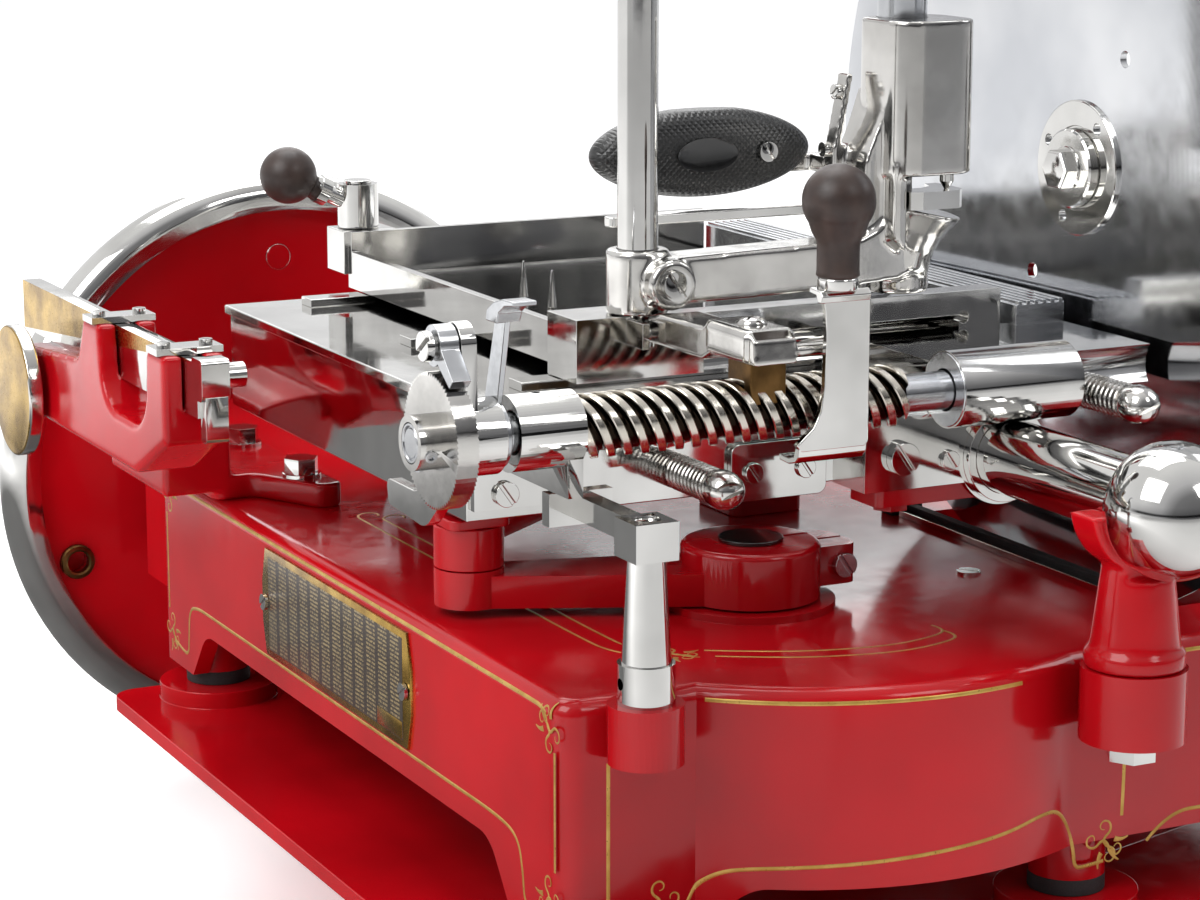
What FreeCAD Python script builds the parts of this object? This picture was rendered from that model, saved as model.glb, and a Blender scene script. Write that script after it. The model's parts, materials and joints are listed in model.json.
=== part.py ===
import FreeCAD, Part
import math
import os

# Hand crank meat slicer, millimetres.
# +X points at the blade (feed direction), +Y away from the operator towards the flywheel, +Z up.
# The origin is the centre of the plinth's bolt pattern, on the surface that it stands on.

V = FreeCAD.Vector

# ---- heights of the stack ----
PLINTH_HEIGHT = 96.0
BASE_THICKNESS = 7.0
BASE_BOSS_HEIGHT = 8.0
PAD_HEIGHT = 6.5
HOUSING_HEIGHT = 91.5
BASE_BOTTOM = PLINTH_HEIGHT
BASE_TOP = BASE_BOTTOM + BASE_THICKNESS
PAD_BOTTOM = BASE_TOP + BASE_BOSS_HEIGHT
HOUSING_BOTTOM = PAD_BOTTOM + PAD_HEIGHT
DECK_Z = HOUSING_BOTTOM + HOUSING_HEIGHT

# ---- plinth ----
PLINTH_LENGTH = 470.0
PLINTH_WIDTH = 220.0
PLINTH_FLANGE = 26.0
PLINTH_WALL = 10.0
FLANGE_THICKNESS = 12.0
PLINTH_BOLT_RADIUS = 5.5
PLINTH_BOLT_INSET_Y = 35.0

# ---- base plate ----
BASE_LEFT = -237.0
BASE_RIGHT = 175.0
BASE_NEAR = -265.0
BASE_FAR = 244.0
BASE_CORNER = 12.0
BASE_BOSS_RADIUS = 28.0
PAD_RADIUS = 15.0
LEG_INSET = 30.0
FOOT_INSET = 17.0

# ---- housing ----
HOUSING_LEFT = -208.0
HOUSING_RIGHT = 175.0
HOUSING_FAR = 248.0
HOUSING_NEAR_LEFT = -192.0
NECK_LEFT = -165.0
NECK_RIGHT = 10.0
NECK_FAR = 400.0
HOUSING_WALL = 8.0
PLATE_NEAR = -59.0
PLATE_FAR = 106.0
PLATE_BOTTOM = DECK_Z - 55.0
PLATE_TOP = DECK_Z - 7.0
PLATE_THICKNESS = 1.6
DECK_EDGE_RADIUS = 6.0
FRONT_RADIUS = 132.0
ARCH_HEIGHT = 24.0
ARCH_LEG = 42.0
POST_BOSS_RADIUS = 14.0
POST_BOSS_HEIGHT = 22.0
COLUMN_BOSS_RADIUS = 20.0
COLUMN_BOSS_HEIGHT = 28.0

# ---- crank and flywheel ----
CRANK_X = -78.6
CRANK_Y = -98.0
CRANK_RADIUS = 112.0
CRANK_ANGLE = 160.4
CRANK_SHAFT_RADIUS = 12.0
CRANK_HUB_RADIUS = 28.0
CRANK_HUB_HEIGHT = 22.0
CRANK_ARM_HEIGHT = 15.0
CRANK_DECK_GAP = 1.0
CRANK_DECK_BOSS_RADIUS = 34.0
CRANK_DECK_BOSS_HEIGHT = 3.0
CRANK_EYE_RADIUS = 14.0
CRANK_PIN_RADIUS = 7.0
DRIVE_Z = DECK_Z - 42.6
FLYWHEEL_Y = 428.5
FLYWHEEL_RADIUS = 156.4
RIM_RADIUS = 11.0
WEB_THICKNESS = 9.0
DISH_RADIUS = 108.0
FLYWHEEL_HUB_RADIUS = 27.0
FLYWHEEL_SHAFT_RADIUS = 12.5
BUSH_WALL = 4.0
HANDLE_RADIUS = 112.0
HANDLE_LENGTH = 105.0
HANDLE_GRIP_RADIUS = 15.0
BEVEL_PITCH_RADIUS = 22.0
BEVEL_FACE = 8.0
BEVEL_BACK = 6.5
BEVEL_GROOVES = 16
CRANK_BEARING_DEPTH = 12.0

# ---- connecting rod ----
ROD_PIVOT_X = -36.0
ROD_PIVOT_Y = 53.2
ROD_EYE_RADIUS = 14.0
ROD_EYE_HEIGHT = 16.8
ROD_BEAM_HEIGHT = 7.5
ROD_BEAM_WIDTH = 20.0
ROD_CAP_HEIGHT = 4.0
ROD_PIN_RADIUS = 6.0
FACE_GAP = 0.4

# ---- slide rod and its columns ----
RAIL_X = 5.0
RAIL_Z = DECK_Z + 62.7
RAIL_RADIUS = 15.0
NEAR_COLUMN_Y = -240.0
COLUMN_HEAD_RADIUS = 26.0
SADDLE_DROP = 3.0
COLUMN_HEAD_LENGTH = 16.0
COLUMN_BASE_RADIUS = 19.0
COLUMN_NECK_RADIUS = 12.0
BALL_RADIUS = 25.6
REAR_COLUMN_Y = 52.0
REAR_COLUMN_FOOT = 36.0

# ---- carriage ----
CARRIAGE_LEFT = -195.0
CARRIAGE_RIGHT = -30.0
CARRIAGE_NEAR = -83.0
CARRIAGE_FAR = 178.0
CARRIAGE_BOTTOM = DECK_Z + 42.0
CARRIAGE_TOP = CARRIAGE_BOTTOM + 42.0
CARRIAGE_WALL = 8.0
TOP_PLATE_THICKNESS = 4.0
TOP_PLATE_LIP = 2.0
BRIDGE_BOTTOM = CARRIAGE_BOTTOM + 37.5
END_PLATE_LEFT = 50.0
END_PLATE_RIGHT = 74.0
END_PLATE_TOP = CARRIAGE_BOTTOM + 69.0
SLEEVE_NEAR = -150.0
SLEEVE_FAR = -126.0
SLEEVE_WALL = 5.0
SLEEVE_LEFT = -58.0
SHOE_LEFT = -51.0
COVER_LEFT = -81.0
COVER_RIGHT = -37.0
SPRING_LENGTH = 33.0
SPRING_RADIUS = 4.6
BOLT_HEAD_RADIUS = 6.2
ROLLER_X = -120.0
ROLLER_Y = 150.0
ROLLER_WIDTH = 12.0

# ---- feed screw ----
SCREW_Y = -160.0
SCREW_Z = DECK_Z + 93.0
SCREW_RADIUS = 12.0
SCREW_ROOT_RADIUS = 9.0
SCREW_LEAD = 35.0
SCREW_STARTS = 5
THREAD_LEFT = -187.5
THREAD_RIGHT = -52.0
SCREW_SHAFT_RADIUS = 7.5
TUBE_LEFT = -29.0
TUBE_RIGHT = 25.0
TUBE_RADIUS = 15.0
TUBE_BORE = 13.0
BEARING_LEFT = -214.0
BEARING_RIGHT = -188.0
BEARING_RADIUS = 14.0
RATCHET_LEFT = -243.0
RATCHET_THICKNESS = 8.0
RATCHET_RADIUS = 24.5
RATCHET_TEETH = 80
ROCKER_RADIUS = 14.0
ROCKER_LEFT = -234.4
ROCKER_RIGHT = -219.0
PAWL_PIN_Z = SCREW_Z + 34.0
RUNNING_GAP = 0.06
CLEARANCE = 0.4

# ---- meat table ----
TABLE_LEFT = -137.0
TABLE_RIGHT = 47.0
TABLE_FLOOR_Z = CARRIAGE_BOTTOM + 50.0
TABLE_FLOOR = 6.0
TABLE_WALL = 4.0
LEFT_WALL_TOP = TABLE_FLOOR_Z + 17.0
BACK_WALL_TOP = TABLE_FLOOR_Z + 26.0
NEAR_END_TOP = TABLE_FLOOR_Z + 24.0
NEAR_END_DEPTH = 12.0
CORNER_LEFT = -148.0
CORNER_RIGHT = -106.0
NUT_LEFT = -123.0
NUT_RIGHT = -95.0
NUT_BLOCK_BOTTOM = SCREW_Z + 14.6
NUT_BLOCK_TOP = SCREW_Z + 26.0
NUT_HINGE_Y = -92.0
NUT_HINGE_Z = SCREW_Z + 18.0
NUT_LEVER_RIGHT = -71.0
NUT_LEVER_FLARE = 12.0
NUT_PIVOT_Y = -178.0
NUT_PIVOT_Z = SCREW_Z + 18.0
KNOB_RADIUS = 13.0
NUT_KNOB_Z = SCREW_Z + 78.0
END_LEVER_X = -127.0
END_LEVER_Y = 190.0

# ---- meat clamp ----
CLAMP_X = -118.0
CLAMP_Y = -76.0
CLAMP_COLUMN_RADIUS = 8.0
CLAMP_COLUMN_TOP = NEAR_END_TOP + 145.0
CLAMP_HUB_RADIUS = 12.5
CLAMP_HUB_HEIGHT = 25.0
CLAMP_ARM_TOP = NEAR_END_TOP + 27.0
PRESS_X = 1.0
CASTING_FOOT_RADIUS = 12.5
BLOCK_LEFT = -11.5
BLOCK_RIGHT = 23.5
BLOCK_NEAR = -101.0
BLOCK_FAR = -63.0
TANG_X = -30.0
HAND_Z = NEAR_END_TOP + 68.0
PRESS_BLOCK_BOTTOM = NEAR_END_TOP + 52.0
PRESS_BLOCK_TOP = NEAR_END_TOP + 126.0
PRESS_SHAFT_RADIUS = 10.0
PRESS_SHAFT_TOP = NEAR_END_TOP + 235.0
PRESS_PLATE_Z = NEAR_END_TOP + 153.0
GRIP_X = -75.5
GRIP_Y = -48.0
GRIP_Z = NEAR_END_TOP + 59.0
GRIP_LENGTH = 89.0
GRIP_HEIGHT = 34.0
GRIP_THICKNESS = 24.0
TRIGGER_X = -20.5
TRIGGER_Z = NEAR_END_TOP + 35.0

# ---- blade ----
BLADE_X = 80.0
BLADE_Y = -86.0
BLADE_Z = DECK_Z + 164.0
BLADE_RADIUS = 183.6
BLADE_THICKNESS = 3.0
BLADE_SHAFT_RADIUS = 12.0
BLADE_HOLE_CIRCLE = 56.0
BLADE_HOLE_ANGLE = 123.0
DISC_FLANGE_RADIUS = 28.0
DISC_FLANGE_THICKNESS = 1.6
FLANGE_HOLE_CIRCLE = 22.0
FLANGE_HOLE_ANGLES = (29, 149, 269)
COLLAR_RADIUS = 16.0
COLLAR_HEIGHT = 8.0
NUT_ACROSS = 17.0
SLOT_LEFT = 60.0
SLOT_WIDTH = 34.0
CHAIN_X = 140.0

# ---- index bracket ----
BRACKET_LEFT = -254.0
BRACKET_RIGHT = -226.0
BRACKET_BOTTOM = DECK_Z + 23.0
BRACKET_TOP = DECK_Z + 81.0
FOOT_RIGHT = -159.0
FOOT_TOE_Y = 133.0
FOOT_ROOT_Y = 168.0
FOOT_THICKNESS = 11.0
FORK_NEAR_Y = 111.0
FORK_FAR_Y = 201.0
FORK_LENGTH = 22.0
BAR_X = -240.0
BAR_WIDTH = 9.0
BAR_HEIGHT = 24.0
BAR_NEAR = 77.0
BAR_FAR = 339.0
BAR_TRAVEL = 20.0
DISC_Y = 297.0
DISC_Z = DECK_Z + 34.0
DISC_RADIUS = 31.5
DISC_THICKNESS = 7.0

# ---- stop post ----
POST_X = -179.0
POST_Y = -202.0
POST_TOP = DECK_Z + 53.0
STOP_ARM_TOP = DECK_Z + 67.0
STOP_REACH = 58.0

# ---- derived places ----
DECK_UNDER = DECK_Z - HOUSING_WALL
CRANK_BOTTOM = DECK_Z + CRANK_DECK_BOSS_HEIGHT + CRANK_DECK_GAP
CRANK_ARM_TOP = CRANK_BOTTOM + CRANK_ARM_HEIGHT
CRANK_HUB_TOP = CRANK_BOTTOM + CRANK_HUB_HEIGHT
ROD_EYE_BOTTOM = CRANK_ARM_TOP + FACE_GAP
ROD_EYE_TOP = ROD_EYE_BOTTOM + ROD_EYE_HEIGHT
PIN_X = CRANK_X + CRANK_RADIUS * math.cos(math.radians(CRANK_ANGLE))
PIN_Y = CRANK_Y + CRANK_RADIUS * math.sin(math.radians(CRANK_ANGLE))
ROLLER_RADIUS = (CARRIAGE_BOTTOM - DECK_Z) / 2
ROLLER_Z = DECK_Z + ROLLER_RADIUS
TOP_Z = CARRIAGE_TOP + TOP_PLATE_THICKNESS
TABLE_TOP = TABLE_FLOOR_Z + TABLE_FLOOR
RAIL_TOP = RAIL_Z + RAIL_RADIUS
FRONT_FACE_Y = NEAR_COLUMN_Y + COLUMN_BOSS_RADIUS + 2
FEET = [
    (HOUSING_LEFT + FOOT_INSET, HOUSING_FAR - LEG_INSET),
    (HOUSING_LEFT + FOOT_INSET, HOUSING_NEAR_LEFT + LEG_INSET),
    (RAIL_X, FRONT_FACE_Y + FOOT_INSET),
    (HOUSING_RIGHT - LEG_INSET, HOUSING_FAR - LEG_INSET),
    (HOUSING_RIGHT - LEG_INSET, HOUSING_NEAR_LEFT + LEG_INSET),
]


# ---- shape helpers ----
def box(x0, x1, y0, y1, z0, z1):
    """A block between two corners."""
    return Part.makeBox(x1 - x0, y1 - y0, z1 - z0, V(x0, y0, z0))


def rod(start, direction, radius, length):
    """A cylinder from a point along a direction."""
    return Part.makeCylinder(radius, length, V(*start), V(*direction))


def tube(start, direction, outer, inner, length):
    """A hollow cylinder."""
    return rod(start, direction, outer, length).cut(rod(start, direction, inner, length))


def cone(start, direction, radius0, radius1, length):
    """A truncated cone from a point along a direction."""
    return Part.makeCone(radius0, radius1, length, V(*start), V(*direction))


def join(shapes):
    """One solid from touching or crossing shapes."""
    first = shapes[0]
    if len(shapes) == 1:
        return first
    return first.multiFuse(shapes[1:]).removeSplitter()


def group(shapes):
    """Separate solids that share one node."""
    solids = [solid for shape in shapes for solid in shape.Solids]
    return Part.makeCompound(solids)


def rounded_wire(corners):
    """A closed wire in the XY plane through (x, y, corner radius) points."""
    count = len(corners)
    edges = []
    ends = []
    for i in range(count):
        x, y, radius = corners[i]
        here = V(x, y, 0)
        before = V(corners[i - 1][0], corners[i - 1][1], 0) - here
        after = V(corners[(i + 1) % count][0], corners[(i + 1) % count][1], 0) - here
        if radius <= 0:
            ends.append((here, None, here))
            continue
        before.normalize()
        after.normalize()
        half = before.getAngle(after) / 2
        reach = radius / math.tan(half)
        middle = before + after
        middle.normalize()
        mid = here + middle * (radius / math.sin(half) - radius)
        ends.append((here + before * reach, mid, here + after * reach))
    for i in range(count):
        start, mid, end = ends[i]
        if mid is not None:
            edges.append(Part.Arc(start, mid, end).toShape())
        following = ends[(i + 1) % count][0]
        if (following - end).Length > 0.001:
            edges.append(Part.makeLine(end, following))
    return Part.Wire(edges)


def prism(corners, z0, z1):
    """A vertical prism with rounded corners."""
    face = Part.Face(rounded_wire(corners))
    face.translate(V(0, 0, z0))
    return face.extrude(V(0, 0, z1 - z0))


def profile_x(corners, x0, x1):
    """A prism along X whose outline is given as (y, z, radius)."""
    shape = prism(corners, 0, x1 - x0)
    turned = shape.transformGeometry(FreeCAD.Matrix(0, 0, 1, 0, 1, 0, 0, 0, 0, 1, 0, 0, 0, 0, 0, 1))
    turned.translate(V(x0, 0, 0))
    return turned


def profile_y(corners, y0, y1):
    """A prism along Y whose outline is given as (x, z, radius)."""
    shape = prism(corners, 0, y1 - y0)
    shape.rotate(V(0, 0, 0), V(1, 0, 0), 90)
    shape.translate(V(0, y1, 0))
    return shape


def turned(points, origin, direction):
    """A solid of revolution: (radius, height) points about an axis."""
    wire = Part.makePolygon([V(r, 0, h) for r, h in points + [points[0]]])
    solid = Part.Face(wire).revolve(V(0, 0, 0), V(0, 0, 1), 360)
    solid = Part.makeSolid(solid) if solid.ShapeType == "Shell" else solid
    solid.Placement = FreeCAD.Placement(V(*origin), FreeCAD.Rotation(V(0, 0, 1), V(*direction)))
    return solid


def soften(shape, radius, chosen):
    """Rounds the edges that a test picks."""
    edges = [edge for edge in shape.Edges if chosen(edge)]
    return shape.makeFillet(radius, edges) if edges else shape


def level(edge, z):
    """True for an edge that lies at one height."""
    bounds = edge.BoundBox
    return abs(bounds.ZMin - z) < 0.01 and abs(bounds.ZMax - z) < 0.01


def upright(edge):
    """True for a straight vertical edge."""
    bounds = edge.BoundBox
    return bounds.XLength < 0.01 and bounds.YLength < 0.01


def slotted_head(x, y, z, direction, radius, height):
    """A round screw head with a slot across its outer face."""
    head = rod((x, y, z), direction, radius, height)
    axis = V(*direction)
    slot = Part.makeBox(radius * 0.3, radius * 2.2, height * 0.5, V(-radius * 0.15, -radius * 1.1, height * 0.6))
    slot.Placement = FreeCAD.Placement(V(x, y, z), FreeCAD.Rotation(V(0, 0, 1), axis)).multiply(
        FreeCAD.Placement(V(), FreeCAD.Rotation(V(0, 0, 1), 35)))
    return head.cut(slot)


def hex_prism(center, direction, across, height):
    """A hexagonal bar from its centre face along a direction."""
    radius = across / math.sqrt(3)
    points = [V(radius * math.cos(math.radians(a)), radius * math.sin(math.radians(a)), 0) for a in range(0, 361, 60)]
    solid = Part.Face(Part.makePolygon(points)).extrude(V(0, 0, height))
    solid.Placement = FreeCAD.Placement(V(*center), FreeCAD.Rotation(V(0, 0, 1), V(*direction)))
    return solid


def grooved_bevel(tip, direction):
    """A bevel wheel blank inside its pitch cone, with radial grooves, seen from the cones' common tip."""
    outer = BEVEL_PITCH_RADIUS - 0.5
    inner = outer - BEVEL_FACE
    blank = turned([(0, inner + 1.5), (inner, inner + 1.5), (outer, outer + 1.5), (outer, outer + BEVEL_BACK), (0, outer + BEVEL_BACK)],
                   tip, direction)
    placement = FreeCAD.Placement(V(*tip), FreeCAD.Rotation(V(0, 0, 1), V(*direction)))
    for k in range(BEVEL_GROOVES):
        groove = Part.makeBox(BEVEL_FACE * 1.6, 2.0, 2.0, V(0, -1.0, -0.8))
        groove.rotate(V(0, 0, 0), V(0, 1, 0), -45)
        groove.translate(V(inner - 1, 0, inner + 0.5))
        groove.rotate(V(0, 0, 0), V(0, 0, 1), 360.0 * k / BEVEL_GROOVES)
        groove.Placement = placement.multiply(groove.Placement)
        blank = blank.cut(groove)
    return blank


# ---- the stand ----
def plinth():
    """The hollow cast foot with a bolting flange."""
    half_x = PLINTH_WIDTH / 2
    half_y = PLINTH_LENGTH / 2
    wall_x = half_x - PLINTH_FLANGE
    wall_y = half_y - PLINTH_FLANGE
    flange = prism([(-half_x, -half_y, 20), (half_x, -half_y, 20), (half_x, half_y, 20), (-half_x, half_y, 20)],
                   0, FLANGE_THICKNESS)
    body = prism([(-wall_x, -wall_y, 16), (wall_x, -wall_y, 16), (wall_x, wall_y, 16), (-wall_x, wall_y, 16)],
                 0, PLINTH_HEIGHT)
    hollow = box(-wall_x + PLINTH_WALL, wall_x - PLINTH_WALL, -wall_y + PLINTH_WALL, wall_y - PLINTH_WALL,
                 0, PLINTH_HEIGHT - PLINTH_WALL)
    solid = join([flange, body]).cut(hollow)
    for x, y in plinth_holes():
        solid = solid.cut(rod((x, y, 0), (0, 0, 1), PLINTH_BOLT_RADIUS, FLANGE_THICKNESS))
    return solid


def plinth_holes():
    """The four bolt places in the plinth's flange."""
    x = (PLINTH_WIDTH - PLINTH_FLANGE) / 2
    y = PLINTH_LENGTH / 2 - PLINTH_BOLT_INSET_Y
    return [(-x, -y), (x, -y), (x, y), (-x, y)]


def base_plate():
    """The sheet base with raised round bosses under the housing's feet."""
    plate = prism([(BASE_LEFT, BASE_NEAR, BASE_CORNER), (BASE_RIGHT, BASE_NEAR, BASE_CORNER),
                   (BASE_RIGHT, BASE_FAR, BASE_CORNER), (BASE_LEFT, BASE_FAR, BASE_CORNER)], BASE_BOTTOM, BASE_TOP)
    bosses = [rod((x, y, BASE_TOP), (0, 0, 1), BASE_BOSS_RADIUS, BASE_BOSS_HEIGHT) for x, y in FEET]
    return join([plate] + bosses)


def base_pads():
    """Rubber discs between the bosses and the housing."""
    return group([rod((x, y, PAD_BOTTOM), (0, 0, 1), PAD_RADIUS, PAD_HEIGHT) for x, y in FEET])


# ---- the housing ----
def housing_outline(inset):
    """The housing's plan, moved inwards by a wall."""
    bay = FRONT_RADIUS - inset
    left = HOUSING_LEFT + inset
    right = HOUSING_RIGHT - inset
    near = HOUSING_NEAR_LEFT + inset
    far = HOUSING_FAR - inset
    body = prism([(left, near, 10), (right, near, 24), (right, far, 20), (left, far, 10)], HOUSING_BOTTOM, DECK_Z)
    neck = box(NECK_LEFT + inset, NECK_RIGHT - inset, far - 20, NECK_FAR - inset, HOUSING_BOTTOM, DECK_Z)
    front = rod((CRANK_X + 18, CRANK_Y, HOUSING_BOTTOM), (0, 0, 1), bay, HOUSING_HEIGHT)
    apron = prism([(CRANK_X, FRONT_FACE_Y + inset, 12), (right - 26, FRONT_FACE_Y + inset, 16),
                   (right - 26, 0, 0), (CRANK_X, 0, 0)], HOUSING_BOTTOM, DECK_Z)
    return join([body, neck, front, apron])


def housing():
    """The cast case: deck, walls, arched skirt, bosses and bearing seats."""
    solid = housing_outline(0)
    solid = soften(solid, DECK_EDGE_RADIUS, lambda edge: level(edge, DECK_Z))
    hollow = housing_outline(HOUSING_WALL)
    hollow = hollow.common(box(-400, 400, -400, 500, HOUSING_BOTTOM, DECK_UNDER))
    solid = solid.cut(hollow)
    for arch in arches():
        solid = solid.cut(arch)
    added = [
        rod((POST_X, POST_Y, DECK_Z - POST_BOSS_HEIGHT), (0, 0, 1), POST_BOSS_RADIUS, POST_BOSS_HEIGHT),
        rod((RAIL_X, NEAR_COLUMN_Y, DECK_Z - COLUMN_BOSS_HEIGHT), (0, 0, 1), COLUMN_BOSS_RADIUS, COLUMN_BOSS_HEIGHT),
        rod((CRANK_X, CRANK_Y, DECK_Z - CRANK_BEARING_DEPTH), (0, 0, 1), CRANK_SHAFT_RADIUS + BUSH_WALL + 8,
            CRANK_BEARING_DEPTH),
        rod((CRANK_X, CRANK_Y, DECK_Z), (0, 0, 1), CRANK_DECK_BOSS_RADIUS, CRANK_DECK_BOSS_HEIGHT),
        flywheel_bearing_seat(),
    ]
    added += [rod((x, y, HOUSING_BOTTOM), (0, 0, 1), PAD_RADIUS, HOUSING_HEIGHT - 2) for x, y in FEET]
    solid = join([solid] + added)
    solid = solid.cut(rod((CRANK_X, CRANK_Y, DECK_Z - 30), (0, 0, 1), CRANK_SHAFT_RADIUS + BUSH_WALL, 40))
    solid = solid.cut(rod((CRANK_X, NECK_FAR - 60, DRIVE_Z), (0, 1, 0), FLYWHEEL_SHAFT_RADIUS + BUSH_WALL, 80))
    return solid.cut(blade_slot())


def flywheel_bearing_seat():
    """The boss in the neck's far wall that holds the flywheel bush."""
    return rod((CRANK_X, NECK_FAR - 34, DRIVE_Z), (0, 1, 0), FLYWHEEL_SHAFT_RADIUS + BUSH_WALL + 7, 34)


def arches():
    """The cuts that leave the housing on its corner legs."""
    top = HOUSING_BOTTOM + ARCH_HEIGHT
    near = HOUSING_NEAR_LEFT + ARCH_LEG
    far = HOUSING_FAR - ARCH_LEG
    side = profile_x([(near, HOUSING_BOTTOM - 1, 0), (far, HOUSING_BOTTOM - 1, 0), (far - 20, top, 18),
                      (near + 20, top, 18)], HOUSING_LEFT - 1, HOUSING_RIGHT + 1)
    left = HOUSING_LEFT + ARCH_LEG + 10
    right = HOUSING_RIGHT - ARCH_LEG - 10
    front = profile_y([(left, HOUSING_BOTTOM - 1, 0), (right, HOUSING_BOTTOM - 1, 0), (right - 20, top - 8, 12),
                       (left + 20, top - 8, 12)], NEAR_COLUMN_Y - 30, CRANK_Y)
    return [side, front]


def blade_slot():
    """The opening in the deck that the blade dips into."""
    return box(SLOT_LEFT, SLOT_LEFT + SLOT_WIDTH, BLADE_Y - 92, BLADE_Y + 92, DECK_Z - 20, DECK_Z + 1)


def slot_strip():
    """The bright strip and the end piece beside the blade slot."""
    near = BLADE_Y - 92
    far = BLADE_Y + 92
    strip = box(SLOT_LEFT - 6, SLOT_LEFT - 1.5, near, far, DECK_Z, DECK_Z + 3)
    return strip


def slot_lip():
    """The black lip along the slot and its far stop."""
    near = BLADE_Y - 92
    far = BLADE_Y + 92
    lip = box(SLOT_LEFT - 1.5, SLOT_LEFT + 3, near, far, DECK_Z, DECK_Z + 5)
    stop = box(SLOT_LEFT - 8, SLOT_LEFT + 8, far, far + 9, DECK_Z, DECK_Z + 7)
    return join([lip, stop])


def index_plate():
    """The brass data plate on the housing's left side."""
    return box(HOUSING_LEFT - PLATE_THICKNESS, HOUSING_LEFT, PLATE_NEAR, PLATE_FAR, PLATE_BOTTOM, PLATE_TOP)


def small_screws():
    """Slotted screws of the index plate and the deck."""
    middle = (PLATE_BOTTOM + PLATE_TOP) / 2
    plate_screws = [slotted_head(HOUSING_LEFT - PLATE_THICKNESS, y, middle, (-1, 0, 0), 3.6, 1.6)
                    for y in (PLATE_NEAR + 5, PLATE_FAR - 5)]
    deck_screw = slotted_head(26, CRANK_Y + 2, DECK_Z, (0, 0, 1), 5, 1.2)
    return group(plate_screws + [deck_screw])


# ---- slide rod and columns ----
def slide_rod():
    """The round rail that the carriage runs on."""
    near = NEAR_COLUMN_Y - COLUMN_HEAD_LENGTH / 2
    return rod((RAIL_X, near, RAIL_Z), (0, 1, 0), RAIL_RADIUS, REAR_COLUMN_Y + COLUMN_HEAD_LENGTH / 2 - near)


def near_column():
    """The conical column with a round head for the slide rod."""
    rise = RAIL_Z - DECK_Z
    stem = turned([(0, 0), (COLUMN_BASE_RADIUS, 0), (COLUMN_BASE_RADIUS, 6), (COLUMN_BASE_RADIUS - 2, 8),
                   (COLUMN_NECK_RADIUS, rise - 12), (COLUMN_NECK_RADIUS, rise), (0, rise)],
                  (RAIL_X, NEAR_COLUMN_Y, DECK_Z), (0, 0, 1))
    head = rod((RAIL_X, NEAR_COLUMN_Y - COLUMN_HEAD_LENGTH / 2, RAIL_Z), (0, 1, 0),
               COLUMN_HEAD_RADIUS, COLUMN_HEAD_LENGTH)
    bore = rod((RAIL_X, NEAR_COLUMN_Y - COLUMN_HEAD_LENGTH, RAIL_Z), (0, 1, 0), RAIL_RADIUS, COLUMN_HEAD_LENGTH * 3)
    near_face = NEAR_COLUMN_Y - COLUMN_HEAD_LENGTH / 2
    reach = COLUMN_HEAD_RADIUS + 2
    ball_room = box(RAIL_X - reach, RAIL_X + reach, near_face - reach, near_face, RAIL_Z - BALL_RADIUS - 2, RAIL_Z + reach)
    open_top = box(RAIL_X - reach, RAIL_X + reach, NEAR_COLUMN_Y - reach, NEAR_COLUMN_Y + reach,
                   RAIL_Z - SADDLE_DROP, RAIL_Z + reach)
    return join([stem, head]).cut(bore).cut(ball_room).cut(open_top)


def ball_cap():
    """The chrome ball that closes the rod's near end."""
    face = NEAR_COLUMN_Y - COLUMN_HEAD_LENGTH / 2
    center = face - BALL_RADIUS * 0.46
    ball = Part.makeSphere(BALL_RADIUS, V(RAIL_X, center, RAIL_Z))
    ball = ball.common(box(RAIL_X - 40, RAIL_X + 40, face - 80, face, RAIL_Z - 40, RAIL_Z + 40))
    screw = slotted_head(RAIL_X, center - BALL_RADIUS + 1, RAIL_Z, (0, -1, 0), 5.5, 2)
    return join([ball, screw])


def column_nut():
    """The chrome nut under the near boss."""
    bottom = DECK_Z - COLUMN_BOSS_HEIGHT
    washer = rod((RAIL_X, NEAR_COLUMN_Y, bottom - 1.6), (0, 0, 1), 11, 1.6)
    return join([washer, hex_prism((RAIL_X, NEAR_COLUMN_Y, bottom - 8), (0, 0, 1), 17, 6.5)])


def rear_column():
    """The far support: a square foot, a stem and a saddle under the rod."""
    half = REAR_COLUMN_FOOT / 2
    head = COLUMN_HEAD_LENGTH / 2
    foot = prism([(RAIL_X - half, REAR_COLUMN_Y - half, 5), (RAIL_X + half, REAR_COLUMN_Y - half, 5),
                  (RAIL_X + half, REAR_COLUMN_Y + half, 5), (RAIL_X - half, REAR_COLUMN_Y + half, 5)],
                 DECK_Z, DECK_Z + 9)
    stem = box(RAIL_X - 12, RAIL_X + 12, REAR_COLUMN_Y - head, REAR_COLUMN_Y + head, DECK_Z, RAIL_Z)
    saddle = box(RAIL_X - RAIL_RADIUS - 3, RAIL_X + RAIL_RADIUS + 3, REAR_COLUMN_Y - head, REAR_COLUMN_Y + head,
                 RAIL_Z - 10, RAIL_Z + 6)
    bore = rod((RAIL_X, REAR_COLUMN_Y - 30, RAIL_Z), (0, 1, 0), RAIL_RADIUS, 60)
    return join([foot, stem, saddle]).cut(bore)


def stop_post():
    """The tapered bright post with its collar and head."""
    collar = rod((POST_X, POST_Y, DECK_Z), (0, 0, 1), 10.5, 15)
    taper = cone((POST_X, POST_Y, DECK_Z + 15), (0, 0, 1), 9.1, 7, POST_TOP - DECK_Z - 15)
    tommy = rod((POST_X - 12, POST_Y, DECK_Z + 8), (1, 0, 0), 2.2, 24)
    return join([collar, taper]).cut(tommy)


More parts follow.
